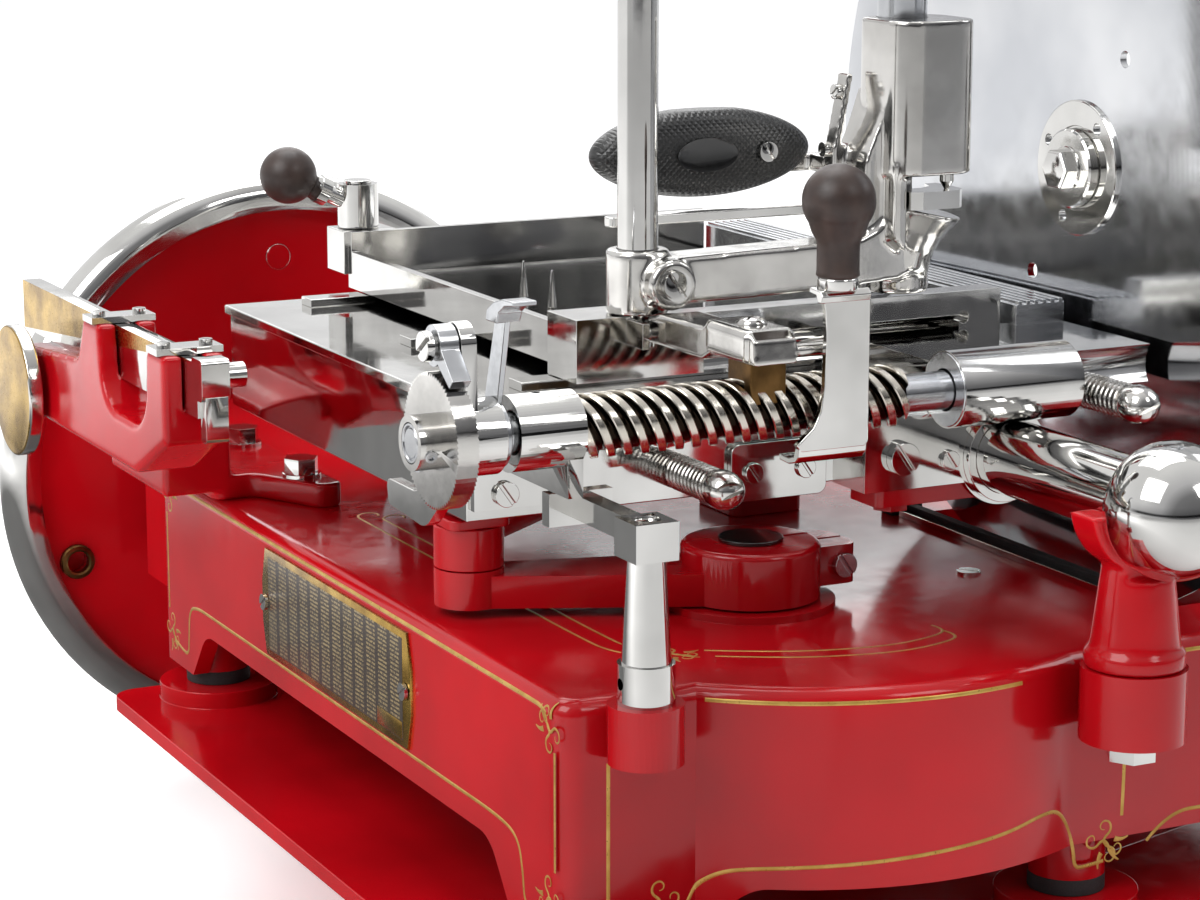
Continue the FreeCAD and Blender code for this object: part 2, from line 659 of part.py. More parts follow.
def stop_arm():
    """The square head on the post, its arm and the stop plate."""
    half = 8.5
    head = box(POST_X - half, POST_X + half, POST_Y - half, POST_Y + half, POST_TOP, STOP_ARM_TOP)
    dimple = rod((POST_X, POST_Y, STOP_ARM_TOP - 2), (0, 0, 1), 5, 3)
    arm = box(POST_X - 4, POST_X + 4, POST_Y, POST_Y + STOP_REACH - 4, POST_TOP + 4, STOP_ARM_TOP - 1)
    plate = box(POST_X - 13, POST_X + 13, POST_Y + STOP_REACH - 6, POST_Y + STOP_REACH, POST_TOP + 1, STOP_ARM_TOP - 0.5)
    return join([head.cut(dimple), arm, plate])


# ---- flywheel ----
def flywheel():
    """The cast wheel: hub, dished web and rim seat."""
    seat = FLYWHEEL_RADIUS - 2 * RIM_RADIUS + 4
    half = WEB_THICKNESS / 2
    points = [(FLYWHEEL_SHAFT_RADIUS, -20), (FLYWHEEL_HUB_RADIUS, -20), (FLYWHEEL_HUB_RADIUS, half - 9),
              (DISH_RADIUS - 9, half - 9), (DISH_RADIUS, -half), (seat, -half), (seat, half), (DISH_RADIUS, half),
              (DISH_RADIUS - 9, half + 4), (FLYWHEEL_HUB_RADIUS, half + 4), (FLYWHEEL_HUB_RADIUS, 18),
              (FLYWHEEL_SHAFT_RADIUS, 18)]
    wheel = turned(points, (CRANK_X, FLYWHEEL_Y, DRIVE_Z), (0, 1, 0))
    x = CRANK_X - 118
    z = DRIVE_Z - 44
    ring = rod((x, FLYWHEEL_Y - half - 3, z), (0, 1, 0), 9, 6)
    hole = rod((x, FLYWHEEL_Y - 20, z), (0, 1, 0), 6, 40)
    spindle_hole = rod((CRANK_X, FLYWHEEL_Y - 20, DRIVE_Z + HANDLE_RADIUS), (0, 1, 0), 7, 40)
    return join([wheel, ring]).cut(hole).cut(spindle_hole)


def flywheel_rim():
    """The bright half-round rim around the wheel."""
    seat = FLYWHEEL_RADIUS - 2 * RIM_RADIUS + 4
    half = RIM_RADIUS + 2
    center = FLYWHEEL_RADIUS - RIM_RADIUS
    arc = [(center + RIM_RADIUS * math.cos(math.radians(a)), half * math.sin(math.radians(a)))
           for a in range(-90, 91, 15)]
    return turned([(seat, -half)] + arc + [(seat, half)], (CRANK_X, FLYWHEEL_Y, DRIVE_Z), (0, 1, 0))


def flywheel_shaft():
    """The drive shaft from the wheel to the bevel pair."""
    near = CRANK_Y + BEVEL_PITCH_RADIUS - BEVEL_FACE
    return rod((CRANK_X, near, DRIVE_Z), (0, 1, 0), FLYWHEEL_SHAFT_RADIUS, FLYWHEEL_Y + 22 - near)


def flywheel_bush():
    """The bronze bush in the neck's far wall."""
    return tube((CRANK_X, NECK_FAR - 34, DRIVE_Z), (0, 1, 0), FLYWHEEL_SHAFT_RADIUS + BUSH_WALL,
                FLYWHEEL_SHAFT_RADIUS + RUNNING_GAP, 36)


def flywheel_pinion():
    """The bevel wheel on the flywheel shaft."""
    gear = grooved_bevel((CRANK_X, CRANK_Y, DRIVE_Z), (0, 1, 0))
    return gear.cut(rod((CRANK_X, CRANK_Y, DRIVE_Z), (0, 1, 0), FLYWHEEL_SHAFT_RADIUS, 90))


def handle_spindle():
    """The fixed spindle that the turning grip runs on."""
    z = DRIVE_Z + HANDLE_RADIUS
    stem = rod((CRANK_X, FLYWHEEL_Y - WEB_THICKNESS / 2, z), (0, 1, 0), 7, HANDLE_LENGTH + 20)
    collar = rod((CRANK_X, FLYWHEEL_Y + WEB_THICKNESS / 2 + 4, z), (0, 1, 0), 11, 5)
    button = rod((CRANK_X, FLYWHEEL_Y - WEB_THICKNESS / 2 + HANDLE_LENGTH + 20, z), (0, 1, 0), 11, 4)
    return join([stem, collar, button])


def handle_grip():
    """The turned wooden grip on the flywheel's spindle."""
    start = FLYWHEEL_Y + WEB_THICKNESS / 2 + 9 + CLEARANCE
    length = HANDLE_LENGTH + 20 - WEB_THICKNESS - 9 - 2 * CLEARANCE
    bore = 7 + RUNNING_GAP
    points = [(bore, 0), (HANDLE_GRIP_RADIUS * 0.75, 0), (HANDLE_GRIP_RADIUS, length * 0.3),
              (HANDLE_GRIP_RADIUS, length * 0.7), (HANDLE_GRIP_RADIUS * 0.8, length), (bore, length)]
    return turned(points, (CRANK_X, start, DRIVE_Z + HANDLE_RADIUS), (0, 1, 0))


# ---- crank ----
def crank_shaft():
    """The upright shaft from the bevel pair to the crank."""
    bottom = DRIVE_Z + BEVEL_PITCH_RADIUS - BEVEL_FACE
    shaft = rod((CRANK_X, CRANK_Y, bottom), (0, 0, 1), CRANK_SHAFT_RADIUS, CRANK_HUB_TOP - bottom)
    return shaft


def crank_bush():
    """The bronze bush in the deck."""
    return tube((CRANK_X, CRANK_Y, DECK_Z - CRANK_BEARING_DEPTH), (0, 0, 1), CRANK_SHAFT_RADIUS + BUSH_WALL,
                CRANK_SHAFT_RADIUS + RUNNING_GAP, CRANK_BEARING_DEPTH + CRANK_DECK_BOSS_HEIGHT)


def crank_gear():
    """The bevel wheel on the crank shaft."""
    gear = grooved_bevel((CRANK_X, CRANK_Y, DRIVE_Z), (0, 0, 1))
    return gear.cut(rod((CRANK_X, CRANK_Y, DRIVE_Z), (0, 0, 1), CRANK_SHAFT_RADIUS, 90))


def crank_arm():
    """The split hub, the tapered arm and the eye that holds the pin."""
    hub = rod((CRANK_X, CRANK_Y, CRANK_BOTTOM), (0, 0, 1), CRANK_HUB_RADIUS, CRANK_HUB_HEIGHT)
    hub = soften(hub, 2.5, lambda edge: level(edge, CRANK_HUB_TOP))
    eye = rod((CRANK_X + CRANK_RADIUS, CRANK_Y, CRANK_BOTTOM), (0, 0, 1), CRANK_EYE_RADIUS, CRANK_ARM_HEIGHT)
    beam = prism([(CRANK_X, CRANK_Y - 20, 0), (CRANK_X + CRANK_RADIUS, CRANK_Y - 11, 0),
                  (CRANK_X + CRANK_RADIUS, CRANK_Y + 11, 0), (CRANK_X, CRANK_Y + 20, 0)], CRANK_BOTTOM, CRANK_ARM_TOP - 2)
    arm = join([hub, eye, beam])
    arm.rotate(V(CRANK_X, CRANK_Y, 0), V(0, 0, 1), CRANK_ANGLE)
    lug = prism([(CRANK_X + 20, CRANK_Y - 13, 0), (CRANK_X + CRANK_HUB_RADIUS + 14, CRANK_Y - 13, 5),
                 (CRANK_X + CRANK_HUB_RADIUS + 14, CRANK_Y + 13, 5), (CRANK_X + 20, CRANK_Y + 13, 0)],
                CRANK_BOTTOM + 3, CRANK_HUB_TOP - 3)
    solid = join([arm, lug])
    split = box(CRANK_X + 13, CRANK_X + 60, CRANK_Y - 1, CRANK_Y + 1, CRANK_BOTTOM - 1, CRANK_HUB_TOP + 1)
    bore = rod((CRANK_X, CRANK_Y, CRANK_BOTTOM - 1), (0, 0, 1), CRANK_SHAFT_RADIUS, CRANK_HUB_HEIGHT + 2)
    pin_bore = rod((PIN_X, PIN_Y, CRANK_BOTTOM - 1), (0, 0, 1), CRANK_PIN_RADIUS, CRANK_ARM_HEIGHT + 2)
    return solid.cut(split).cut(bore).cut(pin_bore)


def crank_screw():
    """The clamp screw across the hub's split lug."""
    x = CRANK_X + CRANK_HUB_RADIUS + 7
    z = (CRANK_BOTTOM + CRANK_HUB_TOP) / 2
    return slotted_head(x, CRANK_Y - 13, z, (0, -1, 0), 5, 3)


def crank_pin():
    """The pin in the arm's eye."""
    return rod((PIN_X, PIN_Y, CRANK_BOTTOM), (0, 0, 1), CRANK_PIN_RADIUS, CRANK_ARM_HEIGHT)


def crank_cap():
    """The black disc on the shaft's end."""
    return rod((CRANK_X, CRANK_Y, CRANK_HUB_TOP), (0, 0, 1), CRANK_SHAFT_RADIUS + 1, 1.6)


# ---- connecting rod ----
def connecting_rod():
    """The rod from the crank pin to the carriage."""
    length = math.hypot(ROD_PIVOT_X - PIN_X, ROD_PIVOT_Y - PIN_Y)
    half = ROD_BEAM_WIDTH / 2
    eye = rod((0, 0, ROD_EYE_BOTTOM), (0, 0, 1), ROD_EYE_RADIUS, ROD_EYE_HEIGHT)
    beam = prism([(0, -half, 0), (length, -half, 0), (length, half, 0), (0, half, 0)],
                 ROD_EYE_TOP - ROD_BEAM_HEIGHT, ROD_EYE_TOP)
    far_eye = rod((length, 0, ROD_EYE_TOP - ROD_BEAM_HEIGHT), (0, 0, 1), ROD_EYE_RADIUS, ROD_BEAM_HEIGHT)
    solid = join([eye, beam, far_eye])
    solid = solid.cut(rod((length, 0, ROD_EYE_BOTTOM), (0, 0, 1), ROD_PIN_RADIUS + RUNNING_GAP, 40))
    solid.rotate(V(0, 0, 0), V(0, 0, 1), math.degrees(math.atan2(ROD_PIVOT_Y - PIN_Y, ROD_PIVOT_X - PIN_X)))
    solid.translate(V(PIN_X, PIN_Y, 0))
    return solid


def rod_cap():
    """The square bright cap on the rod's crank end."""
    half = ROD_EYE_RADIUS - 1
    return prism([(PIN_X - half, PIN_Y - half, 4), (PIN_X + half, PIN_Y - half, 4), (PIN_X + half, PIN_Y + half, 4),
                  (PIN_X - half, PIN_Y + half, 4)], ROD_EYE_TOP, ROD_EYE_TOP + ROD_CAP_HEIGHT)


def rod_pivot_pin():
    """The pin below the carriage that the rod turns on."""
    bottom = ROD_EYE_TOP - ROD_BEAM_HEIGHT - 3
    pin = rod((ROD_PIVOT_X, ROD_PIVOT_Y, bottom), (0, 0, 1), ROD_PIN_RADIUS, CARRIAGE_BOTTOM - bottom)
    head = rod((ROD_PIVOT_X, ROD_PIVOT_Y, bottom - 2.5), (0, 0, 1), ROD_PIN_RADIUS + 4, 2.5 + 3 - CLEARANCE)
    return join([pin, head])


# ---- carriage ----
def carriage():
    """The moving casting: a box on the left and a bridge over the slide rod."""
    body = box(CARRIAGE_LEFT, CARRIAGE_RIGHT, CARRIAGE_NEAR, CARRIAGE_FAR, CARRIAGE_BOTTOM, CARRIAGE_TOP)
    hollow = box(CARRIAGE_LEFT + CARRIAGE_WALL, CARRIAGE_RIGHT - CARRIAGE_WALL, CARRIAGE_NEAR + CARRIAGE_WALL,
                 CARRIAGE_FAR - CARRIAGE_WALL, CARRIAGE_BOTTOM, CARRIAGE_TOP - CARRIAGE_WALL)
    bridge = box(CARRIAGE_RIGHT, END_PLATE_RIGHT, CARRIAGE_NEAR, CARRIAGE_FAR, BRIDGE_BOTTOM, TOP_Z)
    pivot = rod((ROD_PIVOT_X, ROD_PIVOT_Y, CARRIAGE_BOTTOM), (0, 0, 1), 14, CARRIAGE_TOP - CARRIAGE_BOTTOM)
    pivot = pivot.common(box(CARRIAGE_LEFT, CARRIAGE_RIGHT, CARRIAGE_NEAR, CARRIAGE_FAR, CARRIAGE_BOTTOM, CARRIAGE_TOP))
    lip = TOP_PLATE_LIP
    top = box(CARRIAGE_LEFT - lip, CARRIAGE_RIGHT, CARRIAGE_NEAR - lip, CARRIAGE_FAR + lip, CARRIAGE_TOP, TOP_Z)
    return join([body.cut(hollow), bridge, pivot, top])


def sleeve():
    """The block under the feed screw's tube that runs on the slide rod."""
    ring = rod((RAIL_X, SLEEVE_NEAR, RAIL_Z), (0, 1, 0), RAIL_RADIUS + SLEEVE_WALL, SLEEVE_FAR - SLEEVE_NEAR)
    bottom = RAIL_Z - 9.7
    top = RAIL_TOP + SLEEVE_WALL
    block = box(SLEEVE_LEFT, RAIL_X, SLEEVE_NEAR, SLEEVE_FAR, bottom, top)
    arm = box(COVER_RIGHT + 1, RAIL_X - RAIL_RADIUS - 8, SLEEVE_FAR, CARRIAGE_NEAR, bottom, top)
    bore = rod((RAIL_X, SLEEVE_NEAR - 10, RAIL_Z), (0, 1, 0), RAIL_RADIUS + RUNNING_GAP, 60)
    screw = rod((SLEEVE_LEFT - 1, SCREW_Y, SCREW_Z), (1, 0, 0), TUBE_RADIUS, TUBE_RIGHT - SLEEVE_LEFT)
    return join([ring, block, arm]).cut(bore).cut(screw)


def felt_ring():
    """The black wiper on the sleeve's near face."""
    return tube((RAIL_X, SLEEVE_NEAR - 4, RAIL_Z), (0, 1, 0), RAIL_RADIUS + 3.5, RAIL_RADIUS + RUNNING_GAP, 4)


def shoe_plate():
    """The red shoe under the sleeve block."""
    bottom = RAIL_Z - 16.7
    top = RAIL_Z - 9.7
    plate = prism([(SHOE_LEFT, SLEEVE_NEAR + 2, 3), (RAIL_X, SLEEVE_NEAR + 2, 0), (RAIL_X, SLEEVE_FAR, 0),
                   (SHOE_LEFT, SLEEVE_FAR, 3)], bottom, top)
    nut = hex_prism((SHOE_LEFT + 12, (SLEEVE_NEAR + SLEEVE_FAR) / 2, bottom - 3), (0, 0, 1), 13, 3)
    ring = rod((RAIL_X, SLEEVE_NEAR, RAIL_Z), (0, 1, 0), RAIL_RADIUS + SLEEVE_WALL, SLEEVE_FAR - SLEEVE_NEAR)
    return join([plate, nut]).cut(ring)


def screw_tube():
    """The polished tube that carries the feed screw's right end, on its bracket."""
    length = TUBE_RIGHT - TUBE_LEFT
    shell = tube((TUBE_LEFT, SCREW_Y, SCREW_Z), (1, 0, 0), TUBE_RADIUS, TUBE_BORE, length)
    seat = tube((TUBE_RIGHT - 16, SCREW_Y, SCREW_Z), (1, 0, 0), TUBE_BORE, SCREW_SHAFT_RADIUS + RUNNING_GAP, 16)
    foot = box(TUBE_LEFT + 4, TUBE_RIGHT - 4, SCREW_Y + 10, SLEEVE_FAR, RAIL_TOP + SLEEVE_WALL, RAIL_TOP + 8)
    foot = foot.cut(rod((TUBE_LEFT - 5, SCREW_Y, SCREW_Z), (1, 0, 0), TUBE_BORE, length + 10))
    web = join([box(TUBE_LEFT + 4, END_PLATE_LEFT, SLEEVE_NEAR, CARRIAGE_NEAR, RAIL_TOP + 8, SCREW_Z + 8),
                box(END_PLATE_LEFT, END_PLATE_RIGHT, SLEEVE_NEAR, CARRIAGE_NEAR - 7, RAIL_TOP + 8, SCREW_Z + 8)])
    web = web.cut(rod((TUBE_LEFT - 5, SCREW_Y, SCREW_Z), (1, 0, 0), TUBE_BORE, length + 70))
    return join([shell, seat, foot, web]).cut(felt_ring())


def left_bearing():
    """The polished bearing at the feed screw's left end and its arm to the carriage."""
    length = BEARING_RIGHT - BEARING_LEFT
    ring = rod((BEARING_LEFT, SCREW_Y, SCREW_Z), (1, 0, 0), BEARING_RADIUS, length)
    arm = box(BEARING_LEFT + 20, BEARING_RIGHT, SCREW_Y, CARRIAGE_NEAR, SCREW_Z - 24, SCREW_Z - 9)
    cheek = box(BEARING_LEFT + 20, BEARING_RIGHT + 22, CARRIAGE_NEAR - 5, CARRIAGE_NEAR, CARRIAGE_BOTTOM + 5,
                SCREW_Z - 9)
    post = box(BEARING_LEFT + 20, BEARING_RIGHT, SCREW_Y - 10, SCREW_Y + 12, SCREW_Z - 24, SCREW_Z - 8)
    bore = rod((BEARING_LEFT - 1, SCREW_Y, SCREW_Z), (1, 0, 0), SCREW_SHAFT_RADIUS + RUNNING_GAP, length + 2)
    oil = rod((BEARING_LEFT + 12, SCREW_Y, SCREW_Z), (0, 0, 1), 1.6, 20)
    return join([ring, arm, cheek, post]).cut(bore).cut(oil)


def cover_plate():
    """The small plate on the carriage's near face."""
    bottom = CARRIAGE_BOTTOM - 3.5
    top = CARRIAGE_BOTTOM + 20
    return profile_y([(COVER_LEFT, bottom, 4), (COVER_RIGHT, bottom, 4), (COVER_RIGHT, top, 4), (COVER_LEFT, top, 4)],
                     CARRIAGE_NEAR - 3, CARRIAGE_NEAR)


def carriage_screws():
    """Screw heads on the cover plate, the sleeve block and the corner."""
    cover = [slotted_head(x, CARRIAGE_NEAR - 3, CARRIAGE_BOTTOM + 8, (0, -1, 0), 4.2, 1.8)
             for x in (COVER_LEFT + 10, COVER_RIGHT - 10)]
    dome = slotted_head(SLEEVE_LEFT + 16, SLEEVE_NEAR, RAIL_Z + 3, (0, -1, 0), 6.5, 4)
    side = slotted_head(RAIL_X - RAIL_RADIUS - SLEEVE_WALL - 5, SLEEVE_NEAR, RAIL_Z, (0, -1, 0), 4, 2)
    corner = slotted_head(BEARING_RIGHT + 7, CARRIAGE_NEAR - 5, CARRIAGE_BOTTOM + 11, (0, -1, 0), 5, 2.5)
    return group(cover + [dome, side, corner])


def spring_bolts():
    """The two spring-loaded gib bolts."""
    return group([spring_bolt(COVER_LEFT - 22, CARRIAGE_NEAR, CARRIAGE_BOTTOM + 11),
                  spring_bolt(END_PLATE_LEFT - 8, SLEEVE_NEAR, SCREW_Z - 7.5)])


def spring_bolt(x, face, z):
    """A bolt with a domed head and a spring sleeve, standing out of a near face."""
    sleeve_end = face - SPRING_LENGTH
    spring = rod((x, sleeve_end, z), (0, 1, 0), SPRING_RADIUS, SPRING_LENGTH)
    head = turned([(0, 0), (BOLT_HEAD_RADIUS, 0), (BOLT_HEAD_RADIUS, 5), (BOLT_HEAD_RADIUS - 1.5, 8),
                   (0, BOLT_HEAD_RADIUS + 3)], (x, sleeve_end, z), (0, -1, 0))
    return join([spring, head])


def end_plate():
    """The ribbed plate beside the blade."""
    body = box(END_PLATE_LEFT, END_PLATE_RIGHT, CARRIAGE_NEAR - 7, CARRIAGE_FAR, TOP_Z, END_PLATE_TOP - 1.5)
    ribs = [box(x, x + 2.2, CARRIAGE_NEAR - 7, CARRIAGE_FAR, END_PLATE_TOP - 1.5, END_PLATE_TOP)
            for x in [END_PLATE_LEFT + 1 + 4 * k for k in range(6)]]
    return join([body] + ribs)


def roller_bracket():
    """The fork and pin of the roller that carries the carriage's left side."""
    half = ROLLER_WIDTH / 2
    cheeks = []
    for side in (-1, 1):
        inner = ROLLER_X + side * (half + CLEARANCE)
        outer = inner + side * 4
        cheeks.append(box(min(inner, outer), max(inner, outer), ROLLER_Y - 8, ROLLER_Y + 8,
                          ROLLER_Z - 8, CARRIAGE_TOP - CARRIAGE_WALL))
    pin = rod((ROLLER_X - half - 6, ROLLER_Y, ROLLER_Z), (1, 0, 0), 4, ROLLER_WIDTH + 12)
    return join(cheeks + [pin])


def roller():
    """The steel roller on the deck."""
    return tube((ROLLER_X - ROLLER_WIDTH / 2, ROLLER_Y, ROLLER_Z), (1, 0, 0), ROLLER_RADIUS - 0.35, 4 + RUNNING_GAP,
                ROLLER_WIDTH)


# ---- feed screw ----
def thread():
    """The many-start thread as one twisted bar."""
    step = 2 * math.pi / SCREW_STARTS
    crest = 0.24 * step
    flank = 0.16 * step
    root = step - crest - 2 * flank

    def point(radius, angle):
        return V(0, radius * math.cos(angle), radius * math.sin(angle))

    edges = []
    for k in range(SCREW_STARTS):
        a = k * step
        b = a + crest
        c = b + flank
        d = c + root
        edges.append(Part.Arc(point(SCREW_RADIUS, a), point(SCREW_RADIUS, (a + b) / 2), point(SCREW_RADIUS, b)).toShape())
        edges.append(Part.makeLine(point(SCREW_RADIUS, b), point(SCREW_ROOT_RADIUS, c)))
        edges.append(Part.Arc(point(SCREW_ROOT_RADIUS, c), point(SCREW_ROOT_RADIUS, (c + d) / 2),
                              point(SCREW_ROOT_RADIUS, d)).toShape())
        edges.append(Part.makeLine(point(SCREW_ROOT_RADIUS, d), point(SCREW_RADIUS, a + step)))
    length = THREAD_RIGHT - THREAD_LEFT
    spine = Part.Wire([Part.makeLine(V(0, 0, 0), V(length, 0, 0))])
    guide = Part.makeHelix(SCREW_LEAD, length, SCREW_RADIUS * 2)
    guide.rotate(V(0, 0, 0), V(0, 1, 0), 90)
    sweep = Part.BRepOffsetAPI.MakePipeShell(spine)
    sweep.setAuxiliarySpine(Part.Wire(guide.Edges), True, 0)
    sweep.add(Part.Wire(edges), False, False)
    sweep.build()
    sweep.makeSolid()
    bar = sweep.shape()
    bar.translate(V(THREAD_LEFT, SCREW_Y, SCREW_Z))
    return bar


def lead_screw():
    """The feed screw with its plain ends."""
    left = rod((RATCHET_LEFT - 8, SCREW_Y, SCREW_Z), (1, 0, 0), SCREW_SHAFT_RADIUS, THREAD_LEFT - RATCHET_LEFT + 8)
    right = rod((THREAD_RIGHT, SCREW_Y, SCREW_Z), (1, 0, 0), SCREW_SHAFT_RADIUS, TUBE_RIGHT - 1 - THREAD_RIGHT)
    return left.fuse(thread()).fuse(right)


def ratchet_wheel():
    """The fine-toothed feed wheel and its collar."""
    points = []
    for k in range(RATCHET_TEETH):
        tip = 2 * math.pi * k / RATCHET_TEETH
        foot = 2 * math.pi * (k + 0.35) / RATCHET_TEETH
        points.append(V(0, RATCHET_RADIUS * math.cos(tip), RATCHET_RADIUS * math.sin(tip)))
        points.append(V(0, (RATCHET_RADIUS - 1.3) * math.cos(foot), (RATCHET_RADIUS - 1.3) * math.sin(foot)))
    disc = Part.Face(Part.makePolygon(points + [points[0]])).extrude(V(RATCHET_THICKNESS, 0, 0))
    disc.translate(V(RATCHET_LEFT, SCREW_Y, SCREW_Z))
    collar = rod((RATCHET_LEFT - 8, SCREW_Y, SCREW_Z), (1, 0, 0), 10, 8)
    bore = rod((RATCHET_LEFT - 9, SCREW_Y, SCREW_Z), (1, 0, 0), SCREW_SHAFT_RADIUS, 20)
    return join([disc, collar]).cut(bore)


def rocker():
    """The rocker arm around the screw: hub, upper lobe and hooked tail."""
    hub = rod((ROCKER_LEFT, SCREW_Y, SCREW_Z), (1, 0, 0), ROCKER_RADIUS, ROCKER_RIGHT - ROCKER_LEFT)
    arm = profile_x([(SCREW_Y - 9, SCREW_Z, 0), (SCREW_Y + 9, SCREW_Z, 0), (SCREW_Y + 8, PAWL_PIN_Z + 8, 7.9),
                     (SCREW_Y - 8, PAWL_PIN_Z + 8, 7.9)], ROCKER_LEFT, ROCKER_LEFT + 6)
    tail = profile_x([(SCREW_Y - 4, SCREW_Z - 13, 0), (SCREW_Y + 10, SCREW_Z - 8, 0), (SCREW_Y + 34, SCREW_Z - 26, 10),
                      (SCREW_Y + 62, SCREW_Z - 26, 3), (SCREW_Y + 60, SCREW_Z - 36, 3), (SCREW_Y + 26, SCREW_Z - 38, 12)],
                     ROCKER_LEFT, ROCKER_LEFT + 5)
    bore = rod((ROCKER_LEFT - 1, SCREW_Y, SCREW_Z), (1, 0, 0), SCREW_SHAFT_RADIUS + RUNNING_GAP, 30)
    boss = rod((RATCHET_LEFT, SCREW_Y, PAWL_PIN_Z), (1, 0, 0), 3.5, ROCKER_LEFT - RATCHET_LEFT)
    return join([hub, arm, tail, boss]).cut(bore)


def pawl():
    """The pawl above the ratchet wheel, on the rocker's pin."""
    left = RATCHET_LEFT + 1
    right = ROCKER_LEFT - CLEARANCE
    eye = rod((left, SCREW_Y, PAWL_PIN_Z), (1, 0, 0), 7.5, right - left)
    tip_z = SCREW_Z + 21
    finger = profile_x([(SCREW_Y - 5, PAWL_PIN_Z + 2, 0), (SCREW_Y - 3, PAWL_PIN_Z - 5, 0),
                        (SCREW_Y - 14.5, tip_z, 0), (SCREW_Y - 17.5, tip_z + 3, 0)], left, right)
    bore = rod((left - 1, SCREW_Y, PAWL_PIN_Z), (1, 0, 0), 3.5 + RUNNING_GAP, 12)
    return join([eye, finger]).cut(bore)


def rocker_screw():
    """The slotted screw that keeps the pawl on its pin."""
    return slotted_head(RATCHET_LEFT, SCREW_Y, PAWL_PIN_Z, (-1, 0, 0), 5.5, 3)


def release_lever():
    """The flat thumb lever beside the rocker."""
    x = ROCKER_RIGHT + CLEARANCE
    ring = rod((x, SCREW_Y, SCREW_Z), (1, 0, 0), 12, 2.4)
    top = SCREW_Z + 48
    blade = profile_x([(SCREW_Y - 7, SCREW_Z, 0), (SCREW_Y + 7, SCREW_Z, 0), (SCREW_Y + 4, top, 2),
                       (SCREW_Y - 5, top, 2)], x, x + 2.4)
    tab = profile_x([(SCREW_Y - 14, top - 2, 1), (SCREW_Y + 4, top, 1), (SCREW_Y + 4, top + 3, 1),
                     (SCREW_Y - 14, top + 1.5, 1)], x - 4, x + 8)
    bore = rod((x - 1, SCREW_Y, SCREW_Z), (1, 0, 0), SCREW_SHAFT_RADIUS + RUNNING_GAP, 10)
    return join([ring, blade, tab]).cut(bore)


# ---- meat table ----
def table():
    """The table: floor, low left wall, back wall and the near end casting."""
    floor = box(TABLE_LEFT, TABLE_RIGHT, CARRIAGE_NEAR, CARRIAGE_FAR, TABLE_FLOOR_Z, TABLE_TOP)
    left = box(TABLE_LEFT, TABLE_LEFT + TABLE_WALL, CARRIAGE_NEAR, CARRIAGE_FAR, TABLE_FLOOR_Z, LEFT_WALL_TOP)
    back = box(TABLE_LEFT, TABLE_RIGHT, CARRIAGE_FAR - TABLE_WALL, CARRIAGE_FAR, TABLE_FLOOR_Z, BACK_WALL_TOP)
    near = box(CORNER_RIGHT, TABLE_RIGHT, CARRIAGE_NEAR, CARRIAGE_NEAR + NEAR_END_DEPTH, TABLE_FLOOR_Z, NEAR_END_TOP)
    corner = box(CORNER_LEFT, CORNER_RIGHT, CARRIAGE_NEAR, CARRIAGE_NEAR + 26, TABLE_FLOOR_Z, NEAR_END_TOP + 1)
    solid = join([floor, left, back, near, corner])
    hollow = rod((CORNER_RIGHT + 14, CARRIAGE_NEAR - 4, TABLE_FLOOR_Z + 5), (1, 0, 0), 10,
                 TABLE_RIGHT - CORNER_RIGHT - 34)
    hole = rod((TABLE_RIGHT - 18, CARRIAGE_NEAR - 1, TABLE_FLOOR_Z + 13), (0, 1, 0), 2.6, 6)
    column = rod((CLAMP_X, CLAMP_Y, NEAR_END_TOP - 12), (0, 0, 1), CLAMP_COLUMN_RADIUS, 20)
    return solid.cut(hollow).cut(hole).cut(column)


def table_slides():
    """The dark strips that the table slides on."""
    gap = TABLE_FLOOR_Z - TOP_Z - 0.3
    return group([box(-165, 40, y, y + 12, TOP_Z, TOP_Z + gap) for y in (CARRIAGE_NEAR + 14, 40, CARRIAGE_FAR - 24)])


def spikes():
    """The two meat spikes."""
    made = [cone((x, y, TABLE_TOP), (0, 0, 1), 2.2, 0.4, 16) for x, y in ((-92, 84), (-93, 53))]
    return group(made)


def nut_block():
    """The block that reaches from the table to the feed screw."""
    near = NUT_PIVOT_Y - 4
    body = box(NUT_LEFT, NUT_RIGHT, near, CARRIAGE_NEAR - 2.5, NUT_BLOCK_BOTTOM, NUT_BLOCK_TOP)
    body = body.cut(box(NUT_LEFT - 1, NUT_RIGHT + 1, CARRIAGE_NEAR - 23, CARRIAGE_NEAR, NUT_BLOCK_TOP - 4, NUT_BLOCK_TOP + 1))
    body = body.cut(rod((NUT_LEFT - 1, NUT_HINGE_Y, NUT_HINGE_Z), (1, 0, 0), 2.5 + RUNNING_GAP, 60))
    screw = slotted_head((NUT_LEFT + NUT_RIGHT) / 2, -128, NUT_BLOCK_TOP, (0, 0, 1), 7, 2.5)
    pin = rod((NUT_LEFT + 2, NUT_PIVOT_Y, NUT_PIVOT_Z + 2), (1, 0, 0), 3, NUT_LEVER_RIGHT + 2 - NUT_LEFT)
    return join([body, screw, pin])


def half_nut():
    """The bronze nut over the screw's upper half."""
    body = box(NUT_LEFT + 2, NUT_RIGHT - 2, SCREW_Y - 15, SCREW_Y + 15, SCREW_Z + 4, NUT_BLOCK_BOTTOM)
    return body.cut(rod((NUT_LEFT - 5, SCREW_Y, SCREW_Z), (1, 0, 0), SCREW_RADIUS + CLEARANCE, 60))


